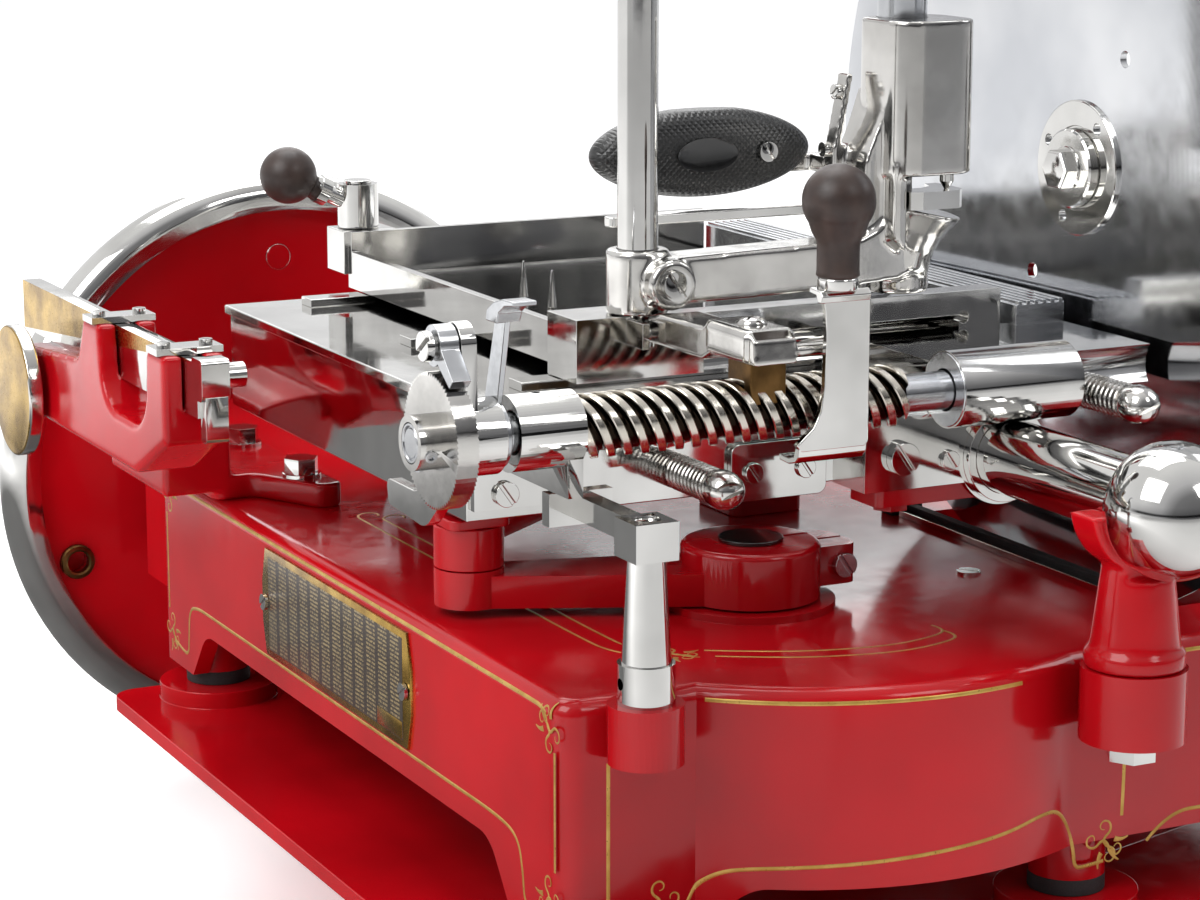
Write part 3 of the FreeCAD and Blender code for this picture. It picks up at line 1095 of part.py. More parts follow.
def nut_hinge():
    """The two ears and the pin on the table that the nut block swings on."""
    ears = [box(x, x + 3, NUT_HINGE_Y - 5, CARRIAGE_NEAR, NUT_HINGE_Z - 5, NUT_HINGE_Z + 5)
            for x in (NUT_LEFT - 3 - CLEARANCE, NUT_RIGHT + CLEARANCE)]
    pin = rod((NUT_LEFT - 3 - CLEARANCE, NUT_HINGE_Y, NUT_HINGE_Z), (1, 0, 0), 2.5,
              NUT_RIGHT - NUT_LEFT + 6 + 2 * CLEARANCE)
    return join(ears + [pin])


def nut_lever():
    """The hooked lever that clasps the feed screw, with its ferrule."""
    left = NUT_RIGHT + 1
    y = NUT_PIVOT_Y
    plate = profile_x([(y - 2.6, SCREW_Z - 16, 1), (y + 0.4, SCREW_Z - 16, 1), (y + 0.4, SCREW_Z + 43, 1),
                       (y + 4, SCREW_Z + 47, 1), (y, SCREW_Z + 50, 1), (y - 2.6, SCREW_Z + 44, 1)],
                      left, NUT_LEVER_RIGHT)
    curl = profile_x([(y - 2.6, SCREW_Z - 14, 0), (y - 2.6, SCREW_Z - 22, 3), (SCREW_Y - 2, SCREW_Z - 22, 1.4),
                      (SCREW_Y - 2, SCREW_Z - 19, 1.4), (y + 0.6, SCREW_Z - 18.5, 1), (y + 0.4, SCREW_Z - 14, 0)],
                     left - NUT_LEVER_FLARE, NUT_LEVER_RIGHT)
    flare = profile_y([(left, SCREW_Z + 12, 0), (left, SCREW_Z - 15, 0), (left - NUT_LEVER_FLARE, SCREW_Z - 15, 0),
                       (left - 4, SCREW_Z + 1, 14)], y - 2.6, y + 0.4)
    ferrule = turned([(0, 0), (8, 0), (8, 5), (6.5, 6.5), (0, 6.5)],
                     ((left + NUT_LEVER_RIGHT) / 2, y, SCREW_Z + 44), (0, 0, 1))
    bore = rod((left - 1, y, NUT_PIVOT_Z + 2), (1, 0, 0), 3 + RUNNING_GAP, NUT_LEVER_RIGHT - left + 10)
    eye = rod((left, y, NUT_PIVOT_Z + 2), (1, 0, 0), 5.2, NUT_LEVER_RIGHT - left)
    return join([plate, curl, flare, ferrule, eye]).cut(bore)


def knob(x, y, bottom, center):
    """A turned ball knob with a waisted neck."""
    rise = center - bottom
    neck = turned([(0, 0), (7.2, 0), (7.2, 2), (5.6, 6), (5.2, rise - KNOB_RADIUS + 2), (8, rise - 6), (0, rise - 6)],
                  (x, y, bottom), (0, 0, 1))
    return join([neck, Part.makeSphere(KNOB_RADIUS, V(x, y, center))])


def nut_lever_knob():
    """The dark ball on the nut lever."""
    return knob((NUT_RIGHT + 1 + NUT_LEVER_RIGHT) / 2, NUT_PIVOT_Y, SCREW_Z + 50.5, NUT_KNOB_Z)


def end_post():
    """The bracket and post behind the back wall that carry the end lever."""
    foot = box(END_LEVER_X - 12, END_LEVER_X + 14, CARRIAGE_FAR, END_LEVER_Y + 9, TABLE_TOP, BACK_WALL_TOP)
    post = rod((END_LEVER_X, END_LEVER_Y, BACK_WALL_TOP), (0, 0, 1), 6.5, 22)
    return join([foot, post])


def end_lever():
    """The small cranked lever on the end post."""
    z = BACK_WALL_TOP + CLEARANCE
    hub = tube((END_LEVER_X, END_LEVER_Y, z), (0, 0, 1), 9.5, 6.5 + RUNNING_GAP, 20)
    stem = rod((END_LEVER_X - 8, END_LEVER_Y, z + 13), (-0.9, 0, 0.43), 4, 9)
    stem = stem.cut(rod((END_LEVER_X, END_LEVER_Y, z), (0, 0, 1), 8, 30))
    ferrule = rod((END_LEVER_X - 15.5, END_LEVER_Y, z + 16.6), (-0.9, 0, 0.43), 6.5, 5)
    return join([hub, stem, ferrule])


def end_knob():
    """The dark ball on the end lever."""
    start = V(END_LEVER_X - 20, END_LEVER_Y, BACK_WALL_TOP + CLEARANCE + 18.7)
    along = V(-0.9, 0, 0.43).normalize()
    rise = KNOB_RADIUS + 2.5
    reach = math.sqrt(KNOB_RADIUS ** 2 - 5.4 ** 2)
    angles = [math.radians(a) for a in range(-60, 90, 6)]
    arc = [(KNOB_RADIUS * math.cos(a), rise + KNOB_RADIUS * math.sin(a)) for a in angles]
    return turned([(0, 0), (6, 0), (5.4, rise - reach)] + arc + [(0, rise + KNOB_RADIUS)], start, along)


# ---- meat clamp ----
def clamp_column():
    """The tall bright column on the table's corner."""
    bottom = NEAR_END_TOP - 12
    column = rod((CLAMP_X, CLAMP_Y, bottom), (0, 0, 1), CLAMP_COLUMN_RADIUS, CLAMP_COLUMN_TOP - bottom)
    return soften(column, 2, lambda edge: level(edge, CLAMP_COLUMN_TOP))


def clamp_arm():
    """The swinging arm: hub, beam, press boss, cylinder block and tang."""
    bottom = NEAR_END_TOP + 1 + CLEARANCE
    hub = rod((CLAMP_X, CLAMP_Y, bottom), (0, 0, 1), CLAMP_HUB_RADIUS, CLAMP_HUB_HEIGHT)
    lug = rod((CLAMP_X + 6, CLAMP_Y - 20, bottom + 12.5), (0, 1, 0), 10, 18)
    beam = profile_y([(CLAMP_X, CLAMP_ARM_TOP - 20, 0), (PRESS_X, CLAMP_ARM_TOP - 17, 0), (PRESS_X, CLAMP_ARM_TOP + 20, 0),
                      (PRESS_X - 16, CLAMP_ARM_TOP + 2, 14), (CLAMP_X, CLAMP_ARM_TOP - 1, 0)], CLAMP_Y - 7, CLAMP_Y + 5)
    foot = rod((PRESS_X, CLAMP_Y, bottom), (0, 0, 1), CASTING_FOOT_RADIUS, 20)
    flare = cone((PRESS_X, CLAMP_Y, bottom + 17), (0.17, -0.17, 1), CASTING_FOOT_RADIUS, 19, 22)
    block = prism([(BLOCK_LEFT, BLOCK_NEAR, 12), (BLOCK_RIGHT, BLOCK_NEAR, 12), (BLOCK_RIGHT, BLOCK_FAR, 12),
                   (BLOCK_LEFT, BLOCK_FAR, 12)], PRESS_BLOCK_BOTTOM, PRESS_BLOCK_TOP)
    block = soften(block, 1.5, lambda edge: level(edge, PRESS_BLOCK_TOP) or level(edge, PRESS_BLOCK_BOTTOM))
    neck = rod((PRESS_X, CLAMP_Y, bottom + 30), (0, 0, 1), CASTING_FOOT_RADIUS, PRESS_BLOCK_BOTTOM - bottom - 25)
    cheek = profile_y([(PRESS_X - 8, CLAMP_ARM_TOP - 10, 0), (TANG_X + 6, CLAMP_ARM_TOP + 6, 8),
                       (TANG_X, CLAMP_ARM_TOP + 34, 12), (TANG_X, CLAMP_ARM_TOP + 52, 4),
                       (TANG_X + 14, CLAMP_ARM_TOP + 68, 8), (PRESS_X, CLAMP_ARM_TOP + 68, 0),
                       (PRESS_X, CLAMP_ARM_TOP - 10, 0)], CLAMP_Y - 8, CLAMP_Y + 11)
    pocket = profile_y([(BLOCK_LEFT - 2, CLAMP_ARM_TOP + 14, 3), (TANG_X + 9, CLAMP_ARM_TOP + 16, 3),
                        (TANG_X + 6, CLAMP_ARM_TOP + 36, 3), (BLOCK_LEFT - 2, CLAMP_ARM_TOP + 36, 3)],
                       CLAMP_Y - 9, CLAMP_Y - 4)
    tang = profile_y([(TANG_X - 3, CLAMP_ARM_TOP + 34, 2), (TANG_X + 8, CLAMP_ARM_TOP + 34, 0),
                      (TANG_X + 12, CLAMP_ARM_TOP + 64, 2), (TANG_X + 1, CLAMP_ARM_TOP + 64, 2)], CLAMP_Y, CLAMP_Y + 11)
    hand = box(GRIP_X + 15, TANG_X + 4, GRIP_Y - 4, GRIP_Y + 3, HAND_Z, HAND_Z + 7)
    link = box(TANG_X - 3, TANG_X + 5, CLAMP_Y + 6, GRIP_Y + 3, HAND_Z, HAND_Z + 7)
    solid = join([hub, lug, beam, foot, flare, block, neck, cheek.cut(pocket), tang, hand, link, trigger_seat()])
    press_bore = rod((PRESS_X, CLAMP_Y, bottom - 1), (0, 0, 1), PRESS_SHAFT_RADIUS + RUNNING_GAP, 140)
    bore = rod((CLAMP_X, CLAMP_Y, bottom - 1), (0, 0, 1), CLAMP_COLUMN_RADIUS + RUNNING_GAP, 40)
    return solid.cut(press_bore).cut(bore).cut(clamp_screws()).cut(tilt_plate())


def clamp_screws():
    """Screw heads of the clamp: hub, tang and grip."""
    bottom = NEAR_END_TOP + 1 + CLEARANCE
    hub = slotted_head(CLAMP_X + 6, CLAMP_Y - 20, bottom + 12.5, (0, -1, 0), 6, 2.5)
    grip = slotted_head(GRIP_X + 24, GRIP_Y - GRIP_THICKNESS / 2, GRIP_Z, (0, -1, 0), 4, 2)
    tang = [slotted_head(TANG_X + lean, CLAMP_Y + 5.5, CLAMP_ARM_TOP + rise, (-1, 0, 0), 3, 3)
            for lean, rise in ((-2.6, 38), (-0.2, 57))]
    return group([hub, grip] + tang)


def clamp_grip():
    """The oval black grip."""
    ball = Part.makeSphere(GRIP_LENGTH / 2, V(0, 0, 0))
    scale = FreeCAD.Matrix()
    scale.scale(1.0, GRIP_THICKNESS / GRIP_LENGTH * 1.25, GRIP_HEIGHT / GRIP_LENGTH)
    shell = ball.transformGeometry(scale)
    half = GRIP_THICKNESS / 2
    shell = shell.common(box(-60, 60, -half, half, -40, 40))
    shell.translate(V(GRIP_X, GRIP_Y, GRIP_Z))
    slot = box(GRIP_X + 15, TANG_X + 3, GRIP_Y - 4, GRIP_Y + 3, HAND_Z, HAND_Z + 7)
    return shell.cut(slot)


def trigger_bar():
    """The release bar under the grip."""
    near = CLAMP_Y + 12
    bar = box(-120, TRIGGER_X, near, near + 8, TRIGGER_Z - 2, TRIGGER_Z + 2)
    tip = rod((-120, near + 4, TRIGGER_Z - 2), (0, 0, 1), 4, 4)
    eye = rod((TRIGGER_X, near, TRIGGER_Z), (0, 1, 0), 5, 8)
    bore = rod((TRIGGER_X, near - 1, TRIGGER_Z), (0, 1, 0), 2.5 + RUNNING_GAP, 12)
    return join([bar, tip, eye]).cut(bore)


def trigger_seat():
    """The lug and pin on the casting that the release bar turns on."""
    far = CLAMP_Y + 20 + CLEARANCE
    lug = box(TRIGGER_X - 6, PRESS_X - 8, far, far + 6, TRIGGER_Z - 6, TRIGGER_Z + 6)
    bridge = box(PRESS_X - 15, PRESS_X - 8, CLAMP_Y + 10, far + 6, TRIGGER_Z - 6, TRIGGER_Z + 6)
    pin = rod((TRIGGER_X, CLAMP_Y + 12, TRIGGER_Z), (0, 1, 0), 2.5, 10)
    return join([lug, bridge, pin])


def tilt_plate():
    """The small plate and pin in the casting's pocket."""
    top = CLAMP_ARM_TOP + 10
    plate = prism([(PRESS_X + 12, CLAMP_Y - 24, 3), (PRESS_X + 26, CLAMP_Y - 24, 3), (PRESS_X + 26, CLAMP_Y + 3, 3),
                   (PRESS_X + 12, CLAMP_Y + 3, 0)], top - 5, top)
    pin = cone((PRESS_X + 18, CLAMP_Y - 18, PRESS_BLOCK_BOTTOM - 11), (0, 0, 1), 1, 2.8, 11)
    return join([plate, pin])


def press_shaft():
    """The sliding press shaft with its top arm."""
    bottom = PRESS_BLOCK_BOTTOM + 14
    shaft = rod((PRESS_X, CLAMP_Y, bottom), (0, 0, 1), PRESS_SHAFT_RADIUS, PRESS_SHAFT_TOP - bottom)
    arm = box(PRESS_X - 8, PRESS_X + 8, CLAMP_Y - 10, CLAMP_Y + 120, PRESS_SHAFT_TOP - 20, PRESS_SHAFT_TOP - 2)
    drop = rod((PRESS_X, CLAMP_Y + 110, PRESS_PLATE_Z + 5), (0, 0, 1), 7, PRESS_SHAFT_TOP - 25 - PRESS_PLATE_Z)
    return join([shaft, arm, drop])


def press_plate():
    """The plate that holds the meat down."""
    plate = box(PRESS_X - 45, PRESS_X + 40, CLAMP_Y + 50, CLAMP_Y + 170, PRESS_PLATE_Z, PRESS_PLATE_Z + 5)
    return soften(plate, 10, upright)


# ---- blade ----
def blade():
    """The dished circular knife."""
    edge = BLADE_RADIUS
    points = [(BLADE_SHAFT_RADIUS, 0), (edge - 45, 0), (edge - 26, 1.6), (edge - 12, 3.4), (edge, 0.4), (edge, -0.2),
              (edge - 12, 0.9), (edge - 26, -0.6), (edge - 45, -BLADE_THICKNESS), (BLADE_SHAFT_RADIUS, -BLADE_THICKNESS)]
    disc = turned(points, (BLADE_X, BLADE_Y, BLADE_Z), (1, 0, 0))
    for angle in (BLADE_HOLE_ANGLE, BLADE_HOLE_ANGLE + 180):
        y = BLADE_Y + BLADE_HOLE_CIRCLE * math.cos(math.radians(angle))
        z = BLADE_Z + BLADE_HOLE_CIRCLE * math.sin(math.radians(angle))
        disc = disc.cut(rod((BLADE_X - 20, y, z), (1, 0, 0), 3.5, 40))
    return disc


def blade_flange():
    """The ring that clamps the blade, with three holes."""
    x = BLADE_X - BLADE_THICKNESS
    ring = rod((x, BLADE_Y, BLADE_Z), (-1, 0, 0), DISC_FLANGE_RADIUS, DISC_FLANGE_THICKNESS)
    collar = rod((x, BLADE_Y, BLADE_Z), (-1, 0, 0), COLLAR_RADIUS, COLLAR_HEIGHT)
    ring = join([ring, collar])
    for angle in FLANGE_HOLE_ANGLES:
        y = BLADE_Y + FLANGE_HOLE_CIRCLE * math.cos(math.radians(angle))
        z = BLADE_Z + FLANGE_HOLE_CIRCLE * math.sin(math.radians(angle))
        ring = ring.cut(rod((x, y, z), (-1, 0, 0), 2.6, 20))
    return ring.cut(rod((x + 1, BLADE_Y, BLADE_Z), (-1, 0, 0), BLADE_SHAFT_RADIUS, 30))


def blade_nut():
    """The washer and hexagon nut in the flange."""
    x = BLADE_X - BLADE_THICKNESS - COLLAR_HEIGHT
    washer = rod((x, BLADE_Y, BLADE_Z), (-1, 0, 0), COLLAR_RADIUS - 3, 2)
    return join([washer, hex_prism((x - 2, BLADE_Y, BLADE_Z), (-1, 0, 0), NUT_ACROSS, 8)])


def blade_shaft():
    """The blade's shaft through the head."""
    left = BLADE_X - BLADE_THICKNESS - COLLAR_HEIGHT
    return rod((left, BLADE_Y, BLADE_Z), (1, 0, 0), BLADE_SHAFT_RADIUS, CHAIN_X + 20 - left)


def chain_wheel():
    """The toothed wheel that turns the blade shaft."""
    teeth = 18
    points = []
    for k in range(teeth):
        for share, radius in ((0.0, 34), (0.3, 34), (0.5, 30), (0.8, 30)):
            angle = 2 * math.pi * (k + share) / teeth
            points.append(V(0, radius * math.cos(angle), radius * math.sin(angle)))
    disc = Part.Face(Part.makePolygon(points + [points[0]])).extrude(V(6, 0, 0))
    disc.translate(V(CHAIN_X, BLADE_Y, BLADE_Z))
    return disc.cut(rod((CHAIN_X - 5, BLADE_Y, BLADE_Z), (1, 0, 0), BLADE_SHAFT_RADIUS, 30))


def blade_head():
    """The upright casting that carries the blade shaft."""
    foot = box(104, 170, BLADE_Y - 60, BLADE_Y + 60, DECK_Z, DECK_Z + 12)
    column = profile_x([(BLADE_Y - 40, DECK_Z, 0), (BLADE_Y + 40, DECK_Z, 0), (BLADE_Y + 30, BLADE_Z + 30, 29),
                        (BLADE_Y - 30, BLADE_Z + 30, 29)], 106, CHAIN_X - 4)
    barrel = rod((96, BLADE_Y, BLADE_Z), (1, 0, 0), 26, CHAIN_X - 4 - 96)
    bore = rod((90, BLADE_Y, BLADE_Z), (1, 0, 0), BLADE_SHAFT_RADIUS + RUNNING_GAP, 60)
    return join([foot, column, barrel]).cut(bore)


def chain_cover():
    """The cover over the chain wheel."""
    outer = profile_x([(BLADE_Y - 44, DECK_Z + 12, 0), (BLADE_Y + 44, DECK_Z + 12, 0), (BLADE_Y + 44, BLADE_Z + 44, 40),
                       (BLADE_Y - 44, BLADE_Z + 44, 40)], CHAIN_X - 4, 168)
    inner = profile_x([(BLADE_Y - 39, DECK_Z + 12, 0), (BLADE_Y + 39, DECK_Z + 12, 0), (BLADE_Y + 39, BLADE_Z + 39, 36),
                       (BLADE_Y - 39, BLADE_Z + 39, 36)], CHAIN_X - 4, 163)
    return outer.cut(inner)


def blade_guard():
    """The bright guard ring behind the upper blade edge."""
    ring = tube((96, BLADE_Y, BLADE_Z), (1, 0, 0), BLADE_RADIUS + 8, BLADE_RADIUS - 14, 8)
    keep = box(90, 110, BLADE_Y - 250, BLADE_Y - 40, BLADE_Z - 90, BLADE_Z + 250)
    bar = box(98, 104, BLADE_Y - BLADE_RADIUS, BLADE_Y - 20, BLADE_Z + 2, BLADE_Z + 20)
    stem = box(98, 106, BLADE_Y - 36, BLADE_Y - 10, BLADE_Z - 10, BLADE_Z + 20)
    arc = ring.common(keep)
    return join([arc, bar, stem]).cut(rod((90, BLADE_Y, BLADE_Z), (1, 0, 0), 26, 30))


def slice_tray():
    """The tray on the slice side of the blade."""
    tray = box(176, 300, BLADE_Y - 110, BLADE_Y + 120, DECK_Z - 6, DECK_Z)
    arm = box(140, 200, BLADE_Y + 70, BLADE_Y + 110, DECK_Z, DECK_Z + 5)
    return join([tray, arm])


# ---- index ----
def index_bracket():
    """The forked red bracket for the index bar."""
    far = BAR_FAR - 22
    foot = prism([(HOUSING_LEFT, FOOT_ROOT_Y, 6), (FOOT_RIGHT - 30, FOOT_ROOT_Y, 6), (FOOT_RIGHT - 12, FOOT_TOE_Y, 5),
                  (FOOT_RIGHT, FOOT_TOE_Y, 5), (FOOT_RIGHT, HOUSING_FAR - 2, 14), (HOUSING_LEFT, HOUSING_FAR - 2, 6)],
                 DECK_Z, DECK_Z + FOOT_THICKNESS)
    notch = BRACKET_TOP - 36
    web = profile_x([(FORK_NEAR_Y - FORK_LENGTH / 2, notch - 2, 0), (FORK_NEAR_Y + 30, BRACKET_BOTTOM, 6),
                     (far, BRACKET_BOTTOM, 6), (far, BRACKET_TOP - 28, 6),
                     (FORK_FAR_Y + FORK_LENGTH / 2 + 10, BRACKET_TOP - 20, 10),
                     (FORK_FAR_Y + FORK_LENGTH / 2, BRACKET_TOP, 0), (FORK_FAR_Y - FORK_LENGTH / 2, BRACKET_TOP, 0),
                     (FORK_FAR_Y - FORK_LENGTH / 2 - 4, notch, 20), (FORK_NEAR_Y + FORK_LENGTH / 2 + 4, notch, 20),
                     (FORK_NEAR_Y + FORK_LENGTH / 2, BRACKET_TOP, 0), (FORK_NEAR_Y - FORK_LENGTH / 2, BRACKET_TOP, 0)],
                    BRACKET_LEFT, BRACKET_RIGHT)
    step = box(BRACKET_RIGHT - 6, HOUSING_LEFT + 8, FOOT_ROOT_Y, HOUSING_FAR - 2, DECK_Z + 4, BRACKET_BOTTOM + 14)
    boss = rod((BRACKET_LEFT + 4, DISC_Y, DISC_Z), (-1, 0, 0), 17, 7)
    half = BAR_WIDTH / 2 + CLEARANCE
    slot = box(BAR_X - half, BAR_X + half, BAR_NEAR - 17, BAR_FAR + 10, BRACKET_TOP - BAR_HEIGHT - CLEARANCE, BRACKET_TOP + 1)
    solid = join([foot, web, step, boss]).cut(slot)
    bore = rod((BRACKET_LEFT - 5, DISC_Y, DISC_Z), (1, 0, 0), 5 + RUNNING_GAP, 40)
    return solid.cut(bore)


def bracket_fasteners():
    """The hexagon bolts in the foot and the slotted screws of the caps."""
    bolts = []
    seat = DECK_Z + FOOT_THICKNESS
    x = FOOT_RIGHT - 12
    for y in (FOOT_TOE_Y + 22, HOUSING_FAR - 16):
        washer = rod((x, y, seat), (0, 0, 1), 9, 1.6)
        bolts.append(join([washer, hex_prism((x, y, seat + 1.6), (0, 0, 1), 14, 7)]))
    screws = []
    for y in (FORK_NEAR_Y, FORK_FAR_Y):
        for x in (BRACKET_LEFT + 4.5, BRACKET_RIGHT - 4.5):
            screws.append(slotted_head(x, y, BRACKET_TOP + 3, (0, 0, 1), 3, 2))
    return group(bolts + screws)


def bracket_caps():
    """The bright keepers over the bar."""
    half = FORK_LENGTH / 2
    caps = [box(BRACKET_LEFT - 1, BRACKET_RIGHT + 1, y - half + 4, y + half - 4, BRACKET_TOP, BRACKET_TOP + 3)
            for y in (FORK_NEAR_Y, FORK_FAR_Y)]
    return group(caps)


def index_bar():
    """The flat slide bar with its hooked near end."""
    top = BRACKET_TOP - CLEARANCE
    bar = box(BAR_X - BAR_WIDTH / 2, BAR_X + BAR_WIDTH / 2, BAR_NEAR + 6, BAR_FAR, top - BAR_HEIGHT + CLEARANCE, top)
    head = profile_x([(BAR_NEAR, top - 16, 3), (BAR_NEAR + 13, top - 16, 0), (BAR_NEAR + 13, top + 2, 2),
                      (BAR_NEAR, top + 2, 2)], BAR_X - BAR_WIDTH / 2, BAR_X + 8)
    nose = rod((BAR_X + 7, BAR_NEAR + 6, top - 6), (1, 0, 0), 5.5, 9)
    leg = profile_x([(BAR_NEAR, top - 34, 2.5), (BAR_NEAR + 7, top - 34, 2.5), (BAR_NEAR + 7, top - 14, 0),
                     (BAR_NEAR, top - 14, 0)], BAR_X - 3, BAR_X + 7)
    return join([bar, head, nose, leg])


def index_knob():
    """The knurled disc that shifts the bar."""
    start = BRACKET_LEFT - 3 - CLEARANCE
    disc = rod((start, DISC_Y, DISC_Z), (-1, 0, 0), DISC_RADIUS, DISC_THICKNESS)
    disc = soften(disc, 1.2, lambda edge: edge.BoundBox.XLength < 0.01)
    shaft = rod((start, DISC_Y, DISC_Z), (1, 0, 0), 5, start * -1 + BRACKET_RIGHT + 2)
    return join([disc, shaft])


# ---- pieces that share a node ----
def slot_trim():
    """The bright strip and the black lip of the blade slot."""
    return group([slot_strip(), slot_lip()])


def body_fasteners():
    """Screws, bolts, keepers and the column nut of the fixed body."""
    return group([small_screws(), column_nut(), bracket_fasteners(), bracket_caps()])


def drive_bushes():
    """The bushes of the flywheel shaft and the crank shaft."""
    return group([flywheel_bush(), crank_bush()])


def flywheel_drive():
    """The flywheel shaft and its bevel wheel."""
    return group([flywheel_shaft(), flywheel_pinion()])


def crank_drive():
    """The crank shaft and its bevel wheel."""
    return group([crank_shaft(), crank_gear()])


def crank_fittings():
    """The crank's pin, clamp screw and end cap."""
    return group([crank_pin(), crank_screw(), crank_cap()])


def rod_assembly():
    """The connecting rod with its square cap."""
    return group([connecting_rod(), rod_cap()])


def carriage_fittings():
    """Cover plate, screws, spring bolts, felt wiper and the table's slide strips."""
    return group([cover_plate(), carriage_screws(), spring_bolts(), felt_ring(), table_slides()])


def carriage_pins():
    """The roller's fork and the connecting rod's pin."""
    return group([roller_bracket(), rod_pivot_pin()])


def rocker_arm():
    """The rocker with the screw that keeps the pawl."""
    return group([rocker(), rocker_screw()])


def meat_table():
    """The table with its spikes and the ears of the nut block."""
    return group([table(), spikes(), nut_hinge()])


def end_clamp_lever():
    """The far lever and its dark ball."""
    return group([end_lever(), end_knob()])


def clamp_fittings():
    """Screw heads and the tilting plate of the clamp."""
    return group([clamp_screws(), tilt_plate()])


def blade_clamp():
    """The blade's flange ring, washer and nut."""
    return group([blade_flange(), blade_nut()])


def blade_drive():
    """The blade shaft and its chain wheel."""
    return group([blade_shaft(), chain_wheel()])


def stop():
    """The taper post and the arm on it."""
    return group([stop_post(), stop_arm()])


def build():
    """Writes one STEP file per named piece."""
    makers = [
        plinth, base_plate, base_pads, housing, slot_trim, index_plate, body_fasteners, slide_rod, near_column,
        ball_cap, rear_column, stop, drive_bushes, blade_head, chain_cover, blade_guard, slice_tray, index_bracket,
        flywheel, flywheel_rim, flywheel_drive, handle_spindle, handle_grip,
        crank_drive, crank_arm, crank_fittings, rod_assembly,
        carriage, sleeve, shoe_plate, screw_tube, left_bearing, carriage_fittings, end_plate, carriage_pins, roller,
        lead_screw, ratchet_wheel, rocker_arm, pawl, release_lever,
        meat_table, clamp_column, end_post, nut_block, half_nut, nut_lever, nut_lever_knob, end_clamp_lever,
        clamp_arm, clamp_grip, clamp_fittings, trigger_bar, press_shaft, press_plate,
        blade, blade_clamp, blade_drive, index_bar, index_knob,
    ]
    os.makedirs("parts", exist_ok=True)
    for maker in makers:
        shape = maker()
        bounds = shape.BoundBox
        print(f"{maker.__name__:18s} {len(shape.Solids):2d} {shape.isValid()} {shape.Volume:12.0f}"
              f" x {bounds.XMin:7.1f} {bounds.XMax:7.1f} y {bounds.YMin:7.1f} {bounds.YMax:7.1f}"
              f" z {bounds.ZMin:6.1f} {bounds.ZMax:6.1f}")
        shape.exportStep(f"parts/{maker.__name__}.step")
    print(len(makers), "pieces")


build()
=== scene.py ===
"""Studio scene of a hand cranked meat slicer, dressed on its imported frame."""
import json
import logging
import math
from collections.abc import Callable
from dataclasses import dataclass
from enum import Enum

import bmesh
import bpy
from mathutils import Matrix, Vector


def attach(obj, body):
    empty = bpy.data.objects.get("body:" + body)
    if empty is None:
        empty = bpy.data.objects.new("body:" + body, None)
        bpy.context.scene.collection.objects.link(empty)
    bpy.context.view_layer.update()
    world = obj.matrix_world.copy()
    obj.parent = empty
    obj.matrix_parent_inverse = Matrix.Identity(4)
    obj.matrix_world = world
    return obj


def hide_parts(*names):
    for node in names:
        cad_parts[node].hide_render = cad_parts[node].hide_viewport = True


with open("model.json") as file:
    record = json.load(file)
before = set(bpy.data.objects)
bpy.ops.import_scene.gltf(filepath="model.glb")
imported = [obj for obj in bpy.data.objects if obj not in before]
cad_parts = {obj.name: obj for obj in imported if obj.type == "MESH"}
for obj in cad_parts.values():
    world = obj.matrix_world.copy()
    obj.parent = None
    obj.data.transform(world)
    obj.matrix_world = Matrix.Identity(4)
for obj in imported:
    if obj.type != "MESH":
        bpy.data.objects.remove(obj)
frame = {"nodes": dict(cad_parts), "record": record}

LOG = logging.getLogger("slicer")
Point = tuple[float, float, float]
Flat = tuple[float, float]
Tree = bpy.types.NodeTree
Socket = bpy.types.NodeSocket
Shape = bmesh.types.BMesh
Wall = Callable[[float, float, float], Point]

# Directions, to turn a shape's own Z axis to.
UP: Point = (0.0, 0.0, 1.0)
RIGHT: Point = (1.0, 0.0, 0.0)
LEFT: Point = (-1.0, 0.0, 0.0)
AWAY: Point = (0.0, 1.0, 0.0)
NEAR: Point = (0.0, -1.0, 0.0)
SLOT_TILT: Point = (0.94, 0.0, 0.34)

# Places that several pieces share, in millimetres.
CRANK_X = -78.6
DRIVE_Z = 166.4
HANDLE_RADIUS = 112.0
WHEEL_NEAR = 424.0
SCREW_AXIS: Flat = (-160.0, 302.0)

# Edges sharper than this stay sharp, in degrees: on machined pieces and on skinned castings.
MACHINED = 32.0
SKINNED = 75.0


def mm(*values: float) -> Vector:
    """A place given in millimetres, in metres."""
    return Vector(values) / 1000.0


def linear(code: str) -> tuple[float, float, float, float]:
    """Turns an sRGB hex colour into linear light.

    Args:
        code: Six hex digits.

    Returns:
        Red, green, blue and an alpha of one.
    """
    parts = [int(code[i:i + 2], 16) / 255 for i in (0, 2, 4)]
    light = [c / 12.92 if c <= 0.04045 else ((c + 0.055) / 1.055) ** 2.4 for c in parts]
    return light[0], light[1], light[2], 1.0


def per(size_mm: float) -> float:
    """The texture scale that repeats a pattern about once in this many millimetres."""
    return 1000.0 / size_mm


def waves(size_mm: float) -> float:
    """The scale of a Wave texture whose bands lie this many millimetres apart."""
    return per(size_mm) * math.tau / 20.0


def feed(tree: Tree, node: bpy.types.Node, inputs: dict) -> None:
    """Gives each input of a node a value or a link.

    Args:
        tree: The node tree.
        node: The node.
        inputs: Socket names or numbers, and a value or an output socket for each.
    """
    for key, value in inputs.items():
        if isinstance(value, Socket):
            tree.links.new(value, node.inputs[key])
        else:
            node.inputs[key].default_value = value


